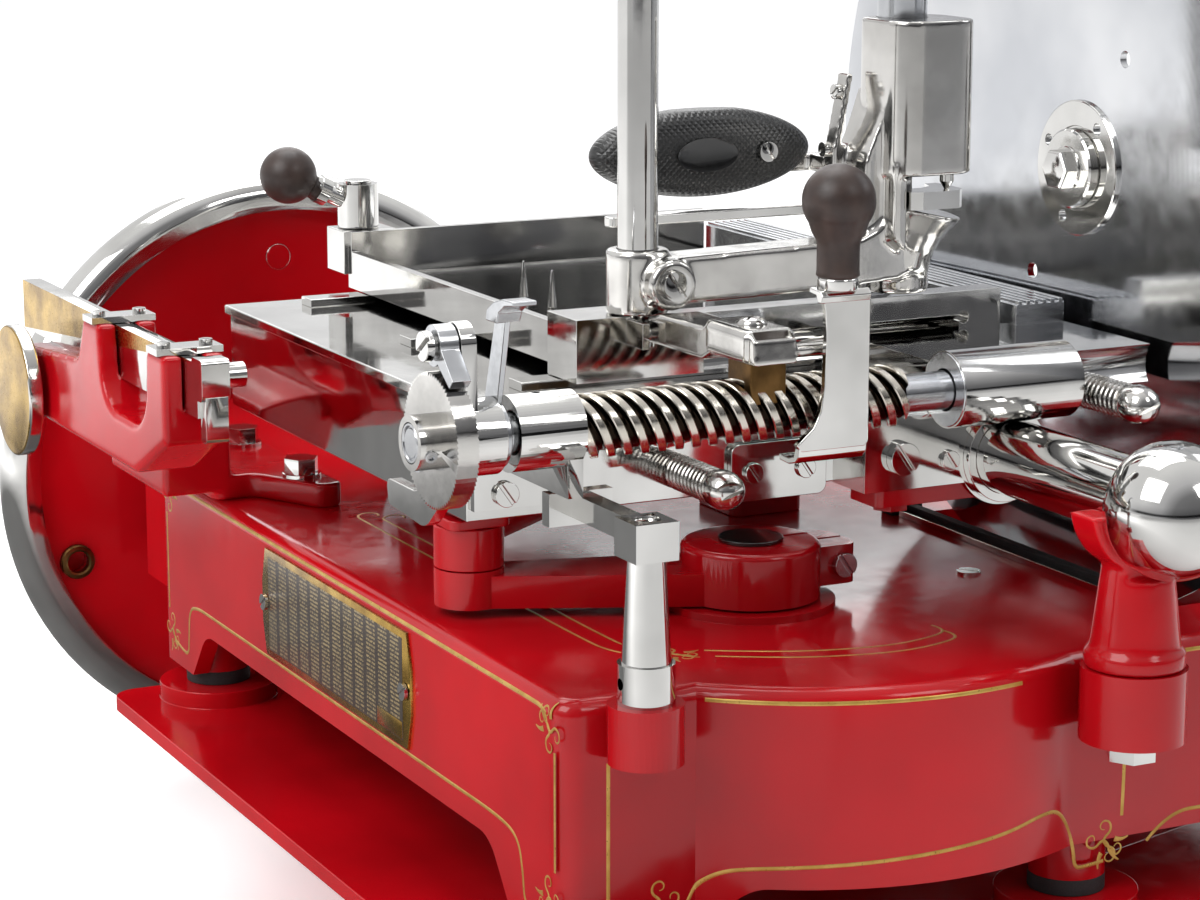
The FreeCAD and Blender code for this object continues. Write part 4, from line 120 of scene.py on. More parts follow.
def add_node(tree: Tree, kind: str, settings: dict | None = None,
             inputs: dict | None = None) -> bpy.types.Node:
    """Adds one shader node with its settings and inputs.

    Args:
        tree: The node tree to add to.
        kind: The node's type, without its usual first word.
        settings: Attribute names and their values.
        inputs: What feeds its sockets.

    Returns:
        The new node.
    """
    made = tree.nodes.new("ShaderNode" + kind)
    for key, value in (settings or {}).items():
        setattr(made, key, value)
    feed(tree, made, inputs or {})
    return made


def objectwise(tree: Tree) -> Socket:
    """The place on the object, in metres."""
    return add_node(tree, "TexCoord").outputs["Object"]


def noise(tree: Tree, place: Socket, size_mm: float, detail: float = 2.0) -> Socket:
    """A soft noise with lumps of about this size."""
    return add_node(tree, "TexNoise", inputs={
        "Vector": place, "Scale": per(size_mm), "Detail": detail}).outputs["Fac"]


def remap(tree: Tree, value: Socket, low: float, high: float, to_low: float = 0.0,
          to_high: float = 1.0) -> Socket:
    """Stretches one range of values to another and holds it there at both ends."""
    return add_node(tree, "MapRange", inputs={
        "Value": value, "From Min": low, "From Max": high, "To Min": to_low,
        "To Max": to_high}).outputs["Result"]


def maths(tree: Tree, operation: str, *values: Socket | float) -> Socket:
    """One step of arithmetic."""
    return add_node(tree, "Math", {"operation": operation}, dict(enumerate(values))).outputs["Value"]


def tones(tree: Tree, part: Socket, first: Socket | tuple, second: Socket | tuple) -> Socket:
    """A colour between two others."""
    return add_node(tree, "Mix", {"data_type": "RGBA"}, {0: part, 6: first, 7: second}).outputs[2]


def xyz(tree: Tree, place: Socket) -> bpy.types.NodeOutputs:
    """The X, Y and Z of a place."""
    return add_node(tree, "SeparateXYZ", inputs={0: place}).outputs


def new_material(name: str) -> tuple[bpy.types.Material, Tree, bpy.types.Node]:
    """Makes an empty material.

    Args:
        name: Its name.

    Returns:
        The material, its node tree and its shader.
    """
    made = bpy.data.materials.new(name)
    made.use_nodes = True
    return made, made.node_tree, made.node_tree.nodes["Principled BSDF"]


@dataclass(frozen=True)
class Finish:
    """A surface as its maker left it, and the numbers that its material starts from."""

    name: str
    slot: str
    colour: str
    shade: str
    metallic: float = 0.0
    roughness: float = 0.3
    spread: float = 0.05
    cloud_mm: float = 60.0
    grain_mm: float = 1.5
    relief_mm: float = 0.01
    stretch: Point = (1.0, 1.0, 1.0)
    coat: float = 0.0
    ior: float = 1.5
    specular: float = 0.5

    def material(self) -> bpy.types.Material:
        """Makes the material once, and gives the same one afterwards."""
        made = bpy.data.materials.get(self.name)
        return made if made else self._make()

    def _make(self) -> bpy.types.Material:
        """Builds the node tree: clouded colour, uneven gloss and a fine relief."""
        material, tree, shader = new_material(self.name)
        place = objectwise(tree)
        cloud = noise(tree, place, self.cloud_mm, 3.0)
        turned = add_node(tree, "Mapping", inputs={"Vector": place, "Scale": self.stretch})
        grain = noise(tree, turned.outputs["Vector"], self.grain_mm)
        pattern = self.pattern(tree, place, grain)
        bump = add_node(tree, "Bump", inputs={
            "Height": pattern, "Strength": 1.0, "Distance": self.relief_mm / 1000.0})
        feed(tree, shader, {
            "Base Color": tones(tree, self.blend(tree, cloud, pattern), linear(self.colour),
                                linear(self.shade)),
            "Roughness": remap(tree, grain, 0.3, 0.7, max(self.roughness - self.spread, 0.02),
                               self.roughness + self.spread),
            "Normal": bump.outputs["Normal"], "Metallic": self.metallic, "Coat Weight": self.coat,
            "Coat Roughness": 0.04, "Specular IOR Level": self.specular})
        if not self.metallic:
            shader.inputs["IOR"].default_value = self.ior
        return material

    def pattern(self, tree: Tree, place: Socket, grain: Socket) -> Socket:
        """The height of the relief; on a plain finish, the grain itself."""
        return grain

    def blend(self, tree: Tree, cloud: Socket, pattern: Socket) -> Socket:
        """How far the colour goes to its second shade; on a plain finish, the cloud."""
        return remap(tree, cloud, 0.35, 0.65)


@dataclass(frozen=True)
class Chequered(Finish):
    """A moulded grip, cut all over with small pyramids."""

    pitch_mm: float = 1.9

    def pattern(self, tree: Tree, place: Socket, grain: Socket) -> Socket:
        """The lower of two crossed saw waves is the height."""
        turned = add_node(tree, "Mapping", inputs={"Vector": place, "Rotation": (0.0, math.radians(45), 0.0)})
        furrows = [add_node(tree, "TexWave", {"bands_direction": side, "wave_profile": "TRI"}, {
            "Vector": turned.outputs["Vector"], "Scale": waves(self.pitch_mm)}).outputs["Fac"]
                   for side in "XZ"]
        return maths(tree, "MINIMUM", *furrows)

    def blend(self, tree: Tree, cloud: Socket, pattern: Socket) -> Socket:
        """The raised points are painted lighter than the furrows, as a painted highlight on each point."""
        return pattern


@dataclass(frozen=True)
class Ringed(Finish):
    """A face finished on a lathe, with fine rings about one axis."""

    centre_mm: Point = (0.0, 0.0, 0.0)
    ring_mm: float = 1.6

    def pattern(self, tree: Tree, place: Socket, grain: Socket) -> Socket:
        """Rings about the X axis through the disc's centre."""
        moved = add_node(tree, "Mapping", inputs={
            "Vector": place, "Location": tuple(-v / 1000.0 for v in self.centre_mm)})
        return add_node(tree, "TexWave", {
            "wave_type": "RINGS", "rings_direction": "X", "wave_profile": "SIN"}, {
            "Vector": moved.outputs["Vector"], "Scale": waves(self.ring_mm),
            "Distortion": 0.6, "Detail": 2.0}).outputs["Fac"]


@dataclass(frozen=True)
class Threaded(Finish):
    """A worn screw, bright on its crests and painted darker down in its grooves, as painted shade."""

    axis_mm: Flat = (0.0, 0.0)
    root_mm: float = 9.0
    crest_mm: float = 12.0

    def blend(self, tree: Tree, cloud: Socket, pattern: Socket) -> Socket:
        """One in the grooves and nothing on the crests, by the distance from the screw's axis: where the
        painted groove shade goes.
        """
        y, z = self.axis_mm
        moved = add_node(tree, "Mapping", inputs={
            "Vector": objectwise(tree), "Location": (0.0, -y / 1000.0, -z / 1000.0),
            "Scale": (0.0, 1.0, 1.0)})
        reach = add_node(tree, "VectorMath", {"operation": "LENGTH"}, {0: moved.outputs["Vector"]})
        return remap(tree, reach.outputs["Value"], (self.crest_mm - 0.35) / 1000.0,
                     (self.root_mm + 1.2) / 1000.0)


@dataclass(frozen=True)
class Tabulated(Finish):
    """An etched plate with columns of small worn marks."""

    column_mm: float = 12.4
    row_mm: float = 1.75
    mark_mm: float = 1.1

    def blend(self, tree: Tree, cloud: Socket, pattern: Socket) -> Socket:
        """One on a mark and nothing between: columns times rows, broken up by a noise."""
        place = objectwise(tree)
        parts = xyz(tree, place)
        bands = []
        for side, size, half in (("Y", self.column_mm, 0.37), ("Z", self.row_mm, 0.27)):
            part = maths(tree, "FRACT", maths(tree, "MULTIPLY", parts[side], per(size)))
            bands.append(maths(tree, "COMPARE", part, 0.5, half))
        marks = remap(tree, noise(tree, place, self.mark_mm, 0.0), 0.38, 0.5, 0.15)
        return maths(tree, "MULTIPLY", maths(tree, "MULTIPLY", *bands), marks)


class Surface(Enum):
    """The finishes of the machine, each with what it gives the eye."""

    # Stoved enamel on cast iron: deep red under a glassy coat, with the faint waves of the sanded casting.
    ENAMEL = Finish("stoved_enamel", "red", "BC0A16", "9C0710", roughness=0.14, spread=0.04,
                    cloud_mm=120, grain_mm=9, relief_mm=0.05, coat=0.08, specular=0.34)
    # Chrome plate on buffed iron: a clear mirror, its reflections bent a little by the hand buffing.
    CHROME = Finish("chrome_plate", "chrome", "E0DFDC", "C8C7C4", metallic=1.0, roughness=0.07, spread=0.03,
                    cloud_mm=45, grain_mm=14, relief_mm=0.04)
    # Ground steel: grey metal with a soft shine and fine lines along the wheel's path.
    STEEL = Finish("ground_steel", "steel", "CFD0D2", "B4B6B9", metallic=1.0, roughness=0.2, spread=0.05,
                   cloud_mm=25, grain_mm=2.5, relief_mm=0.008, stretch=(0.15, 1.0, 1.0))
    # Buffed nickel casting: a warm satin mirror, a little uneven where the wheel couldn't reach.
    NICKEL = Finish("buffed_nickel", "steel", "DAD8D4", "BDBBB7", metallic=1.0, roughness=0.13, spread=0.05,
                    cloud_mm=30, grain_mm=9, relief_mm=0.05)
    # Cast brass, rubbed bright on its high places and darker in its hollows.
    BRASS = Finish("rubbed_brass", "brass", "C8A453", "8F6F32", metallic=1.0, roughness=0.24, spread=0.06,
                   cloud_mm=18, grain_mm=1.0, relief_mm=0.01)
    # Machined bronze: brown-gold, dull with oil.
    BRONZE = Finish("oiled_bronze", "bronze", "7E5F38", "4C3820", metallic=1.0, roughness=0.36, spread=0.07,
                    cloud_mm=14, grain_mm=1.0, relief_mm=0.015)
    # Moulded rubber: near black, matt, with a fine grain from its mould.
    RUBBER = Finish("moulded_rubber", "rubber", "1C1C1D", "2A2A2B", roughness=0.72, spread=0.08,
                    cloud_mm=20, grain_mm=0.7, relief_mm=0.05, ior=1.52)
    # Chequered ebonite: black, with its small points painted lighter as a painted highlight and its furrows
    # left darker.
    GRIP = Chequered("chequered_ebonite", "black", "0B0B0B", "191918", roughness=0.34, spread=0.06,
                     cloud_mm=12, grain_mm=0.8, relief_mm=0.3, ior=1.6)
    # Smooth ebonite: polished black.
    EBONITE = Finish("polished_ebonite", "black", "0D0D0D", "1A1918", roughness=0.16, spread=0.04,
                     cloud_mm=15, grain_mm=3, relief_mm=0.01, coat=0.4, ior=1.6)
    # Pressed bakelite worn dull by hands: dark brown with faint clouds and one soft broad light.
    BAKELITE = Finish("worn_bakelite", "dark_ball", "3A2B25", "2A1E1A", roughness=0.42, spread=0.06,
                      cloud_mm=9, grain_mm=2, relief_mm=0.012, ior=1.5)
    # Cut steel thread: bright crests over grooves painted dark brown, as painted shade.
    THREAD = Threaded("steel_thread_painted_groove_shade", "steel", "CFC9BE", "1F1812", metallic=1.0, roughness=0.2,
                      spread=0.06, cloud_mm=8, grain_mm=1.2, relief_mm=0.02, axis_mm=SCREW_AXIS)
    # Turned steel disc: a mirror with the faint rings that the lathe and the grinder left.
    BLADE = Ringed("turned_blade_steel", "steel", "D9DADC", "C2C4C8", metallic=1.0, roughness=0.11,
                   spread=0.03, cloud_mm=70, grain_mm=10, relief_mm=0.0012,
                   centre_mm=(80.0, -86.0, 373.0), ring_mm=3.4)
    # Etched brass with a dark fill: columns of small worn marks on a grey-brown ground.
    ETCHED = Tabulated("etched_filled_brass", "brass", "48403A", "968562", metallic=0.35, roughness=0.38,
                       spread=0.06, cloud_mm=20, grain_mm=0.9, relief_mm=0.01)
    # Gold size under varnish: a dull, slightly uneven old gold.
    GILT = Finish("varnished_gold_line", "brass", "C8A558", "AF8A3E", metallic=0.55, roughness=0.34,
                  spread=0.08, cloud_mm=9, grain_mm=1.0, relief_mm=0.004)
    # Drawn spring wire: bright grey steel with fine lines.
    WIRE = Finish("drawn_spring_wire", "steel", "BDBBB8", "8E8A84", metallic=1.0, roughness=0.24, spread=0.06,
                  cloud_mm=6, grain_mm=0.6, relief_mm=0.01)
    # Turned beech under dark varnish, its grain along the handle.
    WOOD = Finish("varnished_beech", "wood", "5A3018", "2F180C", roughness=0.3, spread=0.08,
                  cloud_mm=9, grain_mm=1.6, relief_mm=0.03, stretch=(1.0, 0.08, 1.0), coat=0.4)


# The usual finish of each slot.
FINISHES: dict[str, Surface] = {
    "red": Surface.ENAMEL, "chrome": Surface.CHROME, "steel": Surface.STEEL, "brass": Surface.BRASS,
    "bronze": Surface.BRONZE, "rubber": Surface.RUBBER, "black": Surface.GRIP,
    "dark_ball": Surface.BAKELITE, "wood": Surface.WOOD,
}


def mesh_of(shape: Shape, name: str) -> bpy.types.Mesh:
    """Writes a shape to a new mesh.

    Args:
        shape: The shape; freed here.
        name: The mesh's name.

    Returns:
        The mesh.
    """
    data = bpy.data.meshes.new(name)
    shape.to_mesh(data)
    shape.free()
    return data


def shape_of(data: bpy.types.Mesh) -> Shape:
    """Reads a mesh as a shape.

    Args:
        data: The mesh; removed here.

    Returns:
        The shape.
    """
    made = bmesh.new()
    made.from_mesh(data)
    bpy.data.meshes.remove(data)
    return made


def piece(name: str, mesh: Shape, body: str, surfaces: list[Surface],
          replaces: tuple[str, ...] = (), edge_mm: float = 0.0, smooth: float = MACHINED) -> None:
    """Turns a mesh into a finished piece that rides on a body.

    Args:
        name: The piece's name.
        mesh: Its mesh, in place and in metres; freed here.
        body: The body that carries it.
        surfaces: Its finishes, in the order of its material numbers.
        replaces: The frame's nodes that it stands for.
        edge_mm: Width of the soft edge, or none.
        smooth: Edges sharper than this angle stay sharp, in degrees.
    """
    bmesh.ops.remove_doubles(mesh, verts=mesh.verts, dist=1e-6)
    bmesh.ops.recalc_face_normals(mesh, faces=mesh.faces)
    data = mesh_of(mesh, name)
    made = put(name, data)
    for surface in surfaces:
        data.materials.append(surface.value.material())
    finish_edges(made, edge_mm, smooth)
    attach(made, body)
    if replaces:
        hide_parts(*replaces)
    LOG.info("%s on %s, %d faces", name, body, len(data.polygons))


def finish_edges(made: bpy.types.Object, edge_mm: float, smooth: float) -> None:
    """Shades a piece smooth up to an angle, and rounds its sharper edges.

    Args:
        made: The piece.
        edge_mm: Width of the round, or none.
        smooth: The angle in degrees.
    """
    data = made.data
    data.shade_smooth()
    data.set_sharp_from_angle(angle=math.radians(smooth))
    if edge_mm:
        bevel = made.modifiers.new("soft_edge", "BEVEL")
        bevel.width = edge_mm / 1000.0
        bevel.segments = 2
        bevel.limit_method = "ANGLE"
        bevel.angle_limit = math.radians(smooth)
        bevel.harden_normals = True
        bevel.use_clamp_overlap = True


def applied(mesh: Shape, *steps: tuple[str, dict]) -> Shape:
    """Runs modifiers on a shape and keeps what they make.

    Args:
        mesh: The shape; freed here.
        steps: The kind and the settings of each modifier.

    Returns:
        The new shape.
    """
    data = mesh_of(mesh, "raw")
    holder = put("raw", data)
    for kind, settings in steps:
        step = holder.modifiers.new(kind.lower(), kind)
        for key, value in settings.items():
            setattr(step, key, value)
    made = bpy.data.meshes.new_from_object(holder.evaluated_get(bpy.context.evaluated_depsgraph_get()))
    bpy.data.objects.remove(holder)
    bpy.data.meshes.remove(data)
    return shape_of(made)


def skinned(mesh: Shape, voxel_mm: float, rounds: int = 10) -> Shape:
    """Gives a casting the even fillets of its mould: a fine new skin, then smoothed.

    Args:
        mesh: The sharp shape, of parts that may overlap; freed here.
        voxel_mm: The skin's fineness.
        rounds: How often it is smoothed.

    Returns:
        The softened shape.
    """
    return applied(mesh, ("REMESH", {"mode": "VOXEL", "voxel_size": voxel_mm / 1000.0}),
                   ("SMOOTH", {"factor": 0.5, "iterations": rounds}))


def node_copy(node: str) -> Shape:
    """Copies a frame node's mesh and closes the copy.

    Args:
        node: The node's name.

    Returns:
        The copy.
    """
    mesh = bmesh.new()
    mesh.from_mesh(frame["nodes"][node].data)
    bmesh.ops.remove_doubles(mesh, verts=mesh.verts, dist=2e-6)
    return mesh


def cuboid(size: Vector, middle: Vector) -> Shape:
    """Makes a sharp block.

    Args:
        size: Its sides, in metres.
        middle: Its middle, in metres.

    Returns:
        The block.
    """
    part = bmesh.new()
    bmesh.ops.create_cube(part, size=1.0)
    bmesh.ops.scale(part, vec=size, verts=part.verts)
    bmesh.ops.translate(part, vec=middle, verts=part.verts)
    return part


def round_off(part: Shape, edges: list, width_mm: float, segments: int = 3, profile: float = 0.5) -> None:
    """Rounds some edges of a shape."""
    bmesh.ops.bevel(part, geom=edges, offset=width_mm / 1000.0, offset_type="OFFSET", segments=segments,
                    profile=profile, affect="EDGES", material=-1, clamp_overlap=True)


def pull(part: Shape, faces: list, move: Vector) -> list:
    """Extrudes some faces of a shape.

    Args:
        part: The shape.
        faces: The faces.
        move: How far they go, in metres.

    Returns:
        The faces at their new place.
    """
    grown = bmesh.ops.extrude_face_region(part, geom=faces)["geom"]
    bmesh.ops.translate(part, vec=move, verts=[item for item in grown
                                               if isinstance(item, bmesh.types.BMVert)])
    return [item for item in grown if isinstance(item, bmesh.types.BMFace)]


def put(name: str, data: bpy.types.ID) -> bpy.types.Object:
    """Puts a new object into the scene.

    Args:
        name: Its name.
        data: Its mesh, lamp or lens.

    Returns:
        The object.
    """
    made = bpy.data.objects.new(name, data)
    bpy.context.scene.collection.objects.link(made)
    return made


@dataclass(frozen=True)
class Patch:
    """A part of a node that has a finish of its own: the faces inside a box."""

    surface: Surface
    low_mm: Point
    high_mm: Point

    def holds(self, face: bmesh.types.BMFace) -> bool:
        """Tells whether the face's middle is in the box."""
        middle = face.calc_center_median() * 1000.0
        return all(low <= value <= high for low, value, high in zip(self.low_mm, middle, self.high_mm))


@dataclass
class Casting:
    """A frame node whose shape is right, given soft edges and its finishes."""

    node: str
    body: str
    surface: Surface
    edge_mm: float = 0.5
    smooth: float = MACHINED
    patches: tuple[Patch, ...] = ()
    skin_mm: float = 0.0

    def build(self) -> None:
        """Copies the node's mesh, marks its patches, and gives it a new skin or soft edges."""
        mesh = node_copy(self.node)
        name, stands_for = "soft_" + self.node, (self.node,)
        if self.skin_mm:
            piece(name, skinned(mesh, self.skin_mm), self.body, [self.surface], stands_for, smooth=SKINNED)
            return
        for face in mesh.faces:
            face.material_index = 0
            for number, patch in enumerate(self.patches, start=1):
                if patch.holds(face):
                    face.material_index = number
        bmesh.ops.dissolve_limit(mesh, angle_limit=math.radians(0.3), use_dissolve_boundaries=False,
                                 verts=mesh.verts, edges=mesh.edges, delimit={"MATERIAL"})
        finishes = [self.surface] + [patch.surface for patch in self.patches]
        piece(name, mesh, self.body, finishes, stands_for, self.edge_mm, self.smooth)


class Bench:
    """A piece in the making: shapes are made at the origin, put in place and added together."""

    def __init__(self) -> None:
        """Starts with nothing."""
        self.mesh = bmesh.new()

    def add(self, part: Shape, number: int = 0) -> None:
        """Adds a shape with one finish, and frees it.

        Args:
            part: The shape, in place.
            number: Its material number.
        """
        bmesh.ops.remove_doubles(part, verts=part.verts, dist=1e-7)
        bmesh.ops.recalc_face_normals(part, faces=part.faces)
        for face in part.faces:
            face.material_index = number
        data = mesh_of(part, "part")
        self.mesh.from_mesh(data)
        bpy.data.meshes.remove(data)

    @staticmethod
    def stand(part: Shape, base_mm: Point, axis: Point) -> None:
        """Turns a shape's Z axis to a direction and moves it to its base.

        Args:
            part: The shape, at the origin.
            base_mm: Where its origin goes.
            axis: Where its Z axis points.
        """
        turn = Vector(UP).rotation_difference(Vector(axis)).to_matrix().to_4x4()
        bmesh.ops.transform(part, matrix=Matrix.Translation(mm(*base_mm)) @ turn, verts=part.verts)

    def turned(self, profile_mm: list[Flat], base_mm: Point, axis: Point = UP,
               number: int = 0, steps: int = 64) -> None:
        """Turns a profile of radius and height on the lathe.

        Args:
            profile_mm: Points of radius and height, from the axis to the axis.
            base_mm: Where height nought is.
            axis: The direction of the axis.
            number: The material number.
            steps: Sides of the round.
        """
        part = bmesh.new()
        line = [part.verts.new((radius / 1000.0, 0.0, height / 1000.0)) for radius, height in profile_mm]
        edges = [part.edges.new(pair) for pair in zip(line, line[1:])]
        bmesh.ops.spin(part, geom=line + edges, cent=(0.0, 0.0, 0.0), axis=UP,
                       angle=math.tau, steps=steps, use_merge=True)
        self.stand(part, base_mm, axis)
        self.add(part, number)

    def coil(self, base_mm: Point, axis: Point, radius_mm: float, wire_mm: float, turns: int,
             length_mm: float) -> None:
        """Winds a spring from round wire.

        Args:
            base_mm: Where it starts.
            axis: Its direction.
            radius_mm: From the axis to the wire's middle.
            wire_mm: The wire's diameter.
            turns: Whole turns.
            length_mm: From the first wire to the last.
        """
        part = bmesh.new()
        ring = bmesh.ops.create_circle(part, cap_ends=True, radius=wire_mm / 2000.0, segments=10,
                                       matrix=Matrix.Translation((radius_mm / 1000.0, 0.0, 0.0))
                                       @ Matrix.Rotation(math.radians(90), 4, "X"))
        steps = turns * 24
        faces = list({face for vert in ring["verts"] for face in vert.link_faces})
        bmesh.ops.spin(part, geom=ring["verts"] + list(part.edges) + faces, cent=(0.0, 0.0, 0.0),
                       axis=UP, angle=math.tau * turns, steps=steps,
                       dvec=(0.0, 0.0, length_mm / 1000.0 / steps))
        bmesh.ops.holes_fill(part, edges=part.edges, sides=12)
        self.stand(part, base_mm, axis)
        self.add(part)

    def slab(self, outline_mm: list[Flat], side: str, low_mm: float, high_mm: float, number: int = 0,
             rim_mm: float = 0.0) -> None:
        """Extrudes a flat outline along one axis.

        Args:
            outline_mm: Its corners, along the other two axes in their usual order.
            side: The axis that it is extruded along.
            low_mm: Where it starts.
            high_mm: Where it ends.
            number: The material number.
            rim_mm: The radius of the edges at its end, or none.
        """
        part = bmesh.new()
        order = {"x": (2, 0, 1), "y": (0, 2, 1), "z": (0, 1, 2)}[side]
        corners = [part.verts.new(mm(*[(first, second, low_mm)[n] for n in order]))
                   for first, second in outline_mm]
        way = mm(*[(0, 0, 1)[n] for n in order])
        end = pull(part, [part.faces.new(corners)], way * (high_mm - low_mm))
        if not any(set(corners) == set(face.verts) for face in part.faces):
            part.faces.new(corners)
        if rim_mm:
            round_off(part, [edge for face in end for edge in face.edges], rim_mm, 2)
        self.add(part, number)

    def drill(self, places_mm: list[Point], axis: Point, radius_mm: float) -> None:
        """Drills round holes through all that is there so far.

        Args:
            places_mm: A point on each hole's axis.
            axis: The holes' direction.
            radius_mm: Their radius.
        """
        bits = Bench()
        for place in places_mm:
            bits.turned([(0.0, -30.0), (radius_mm, -30.0), (radius_mm, 30.0), (0.0, 30.0)],
                        place, axis, steps=32)
        self.subtract(bits.mesh)

    def cut_slot(self, middle_mm: Point, width_mm: float, along: Point, axis: Point) -> None:
        """Cuts a screwdriver slot through all that is there so far.

        Args:
            middle_mm: The slot's middle, level with the head's top.
            width_mm: Its width.
            along: Its direction.
            axis: The way out of the head, or into it.
        """
        cutter = cuboid(mm(24.0, width_mm, width_mm * 2.4), Vector())
        sides = (Vector(along).normalized(), Vector(along).cross(Vector(axis)).normalized(),
                 Vector(axis).normalized())
        turn = Matrix(sides).transposed().to_4x4()
        bmesh.ops.transform(cutter, matrix=Matrix.Translation(mm(*middle_mm)) @ turn, verts=cutter.verts)
        bmesh.ops.recalc_face_normals(cutter, faces=cutter.faces)
        self.subtract(cutter)

    def subtract(self, cutter: Shape) -> None:
        """Takes a shape away from all that is there so far, and frees it.

        Args:
            cutter: The shape, in place and in metres.
        """
        data = mesh_of(cutter, "cutter")
        tool = put("cutter", data)
        self.mesh = applied(self.mesh,
                            ("BOOLEAN", {"operation": "DIFFERENCE", "solver": "EXACT", "object": tool}))
        bpy.data.objects.remove(tool)
        bpy.data.meshes.remove(data)

    def block(self, low_mm: Point, high_mm: Point, edge_mm: float = 0.0) -> None:
        """Adds a block with rounded edges.

        Args:
            low_mm: Its lowest corner.
            high_mm: Its highest corner.
            edge_mm: The radius of its edges, or none.
        """
        low, high = mm(*low_mm), mm(*high_mm)
        part = cuboid(high - low, (high + low) / 2.0)
        if edge_mm:
            round_off(part, part.edges, edge_mm)
        self.add(part)


@dataclass(frozen=True)
class CaseWalls:
    """The case's outer walls, as the sign painter finds them: along, up and out, in millimetres."""

    left_x: float = -208.0
    near_y: float = -192.0
    apron_y: float = -218.0
    apron_x: float = -78.6
    bay_x: float = -60.6
    bay_y: float = -98.0
    bay_radius: float = 132.0
    deck_z: float = 209.0
    edge_radius: float = 6.0

    def rounding(self, up: float) -> float:
        """How far a wall falls back at a height, because of the deck's rounded edge."""
        rise = min(max(up - self.deck_z + self.edge_radius, 0.0), self.edge_radius)
        return self.edge_radius - math.sqrt(self.edge_radius ** 2 - rise ** 2)

    def left(self, along: float, up: float, out: float) -> Point:
        """A place on the left wall; along is Y."""
        return self.left_x + self.rounding(up) - out, along, up

    def deck(self, along: float, up: float, out: float) -> Point:
        """A place on the deck; along is X and up is Y."""
        return along, up, self.deck_z + out

    def near(self, along: float, up: float, out: float) -> Point:
        """A place on the near wall, the bay or the apron, whichever stands furthest out; along is X."""
        back = self.rounding(up)
        reach = self.bay_radius ** 2 - (along - self.bay_x) ** 2
        flat = self.apron_y if along >= self.apron_x else self.near_y
        if reach > 0 and self.bay_y - math.sqrt(reach) < flat:
            out_way = Vector((along - self.bay_x, -math.sqrt(reach))).normalized()
            return (along + out_way.x * (out - back),
                    self.bay_y - math.sqrt(reach) + out_way.y * (out - back), up)
        return along, flat + back - out, up


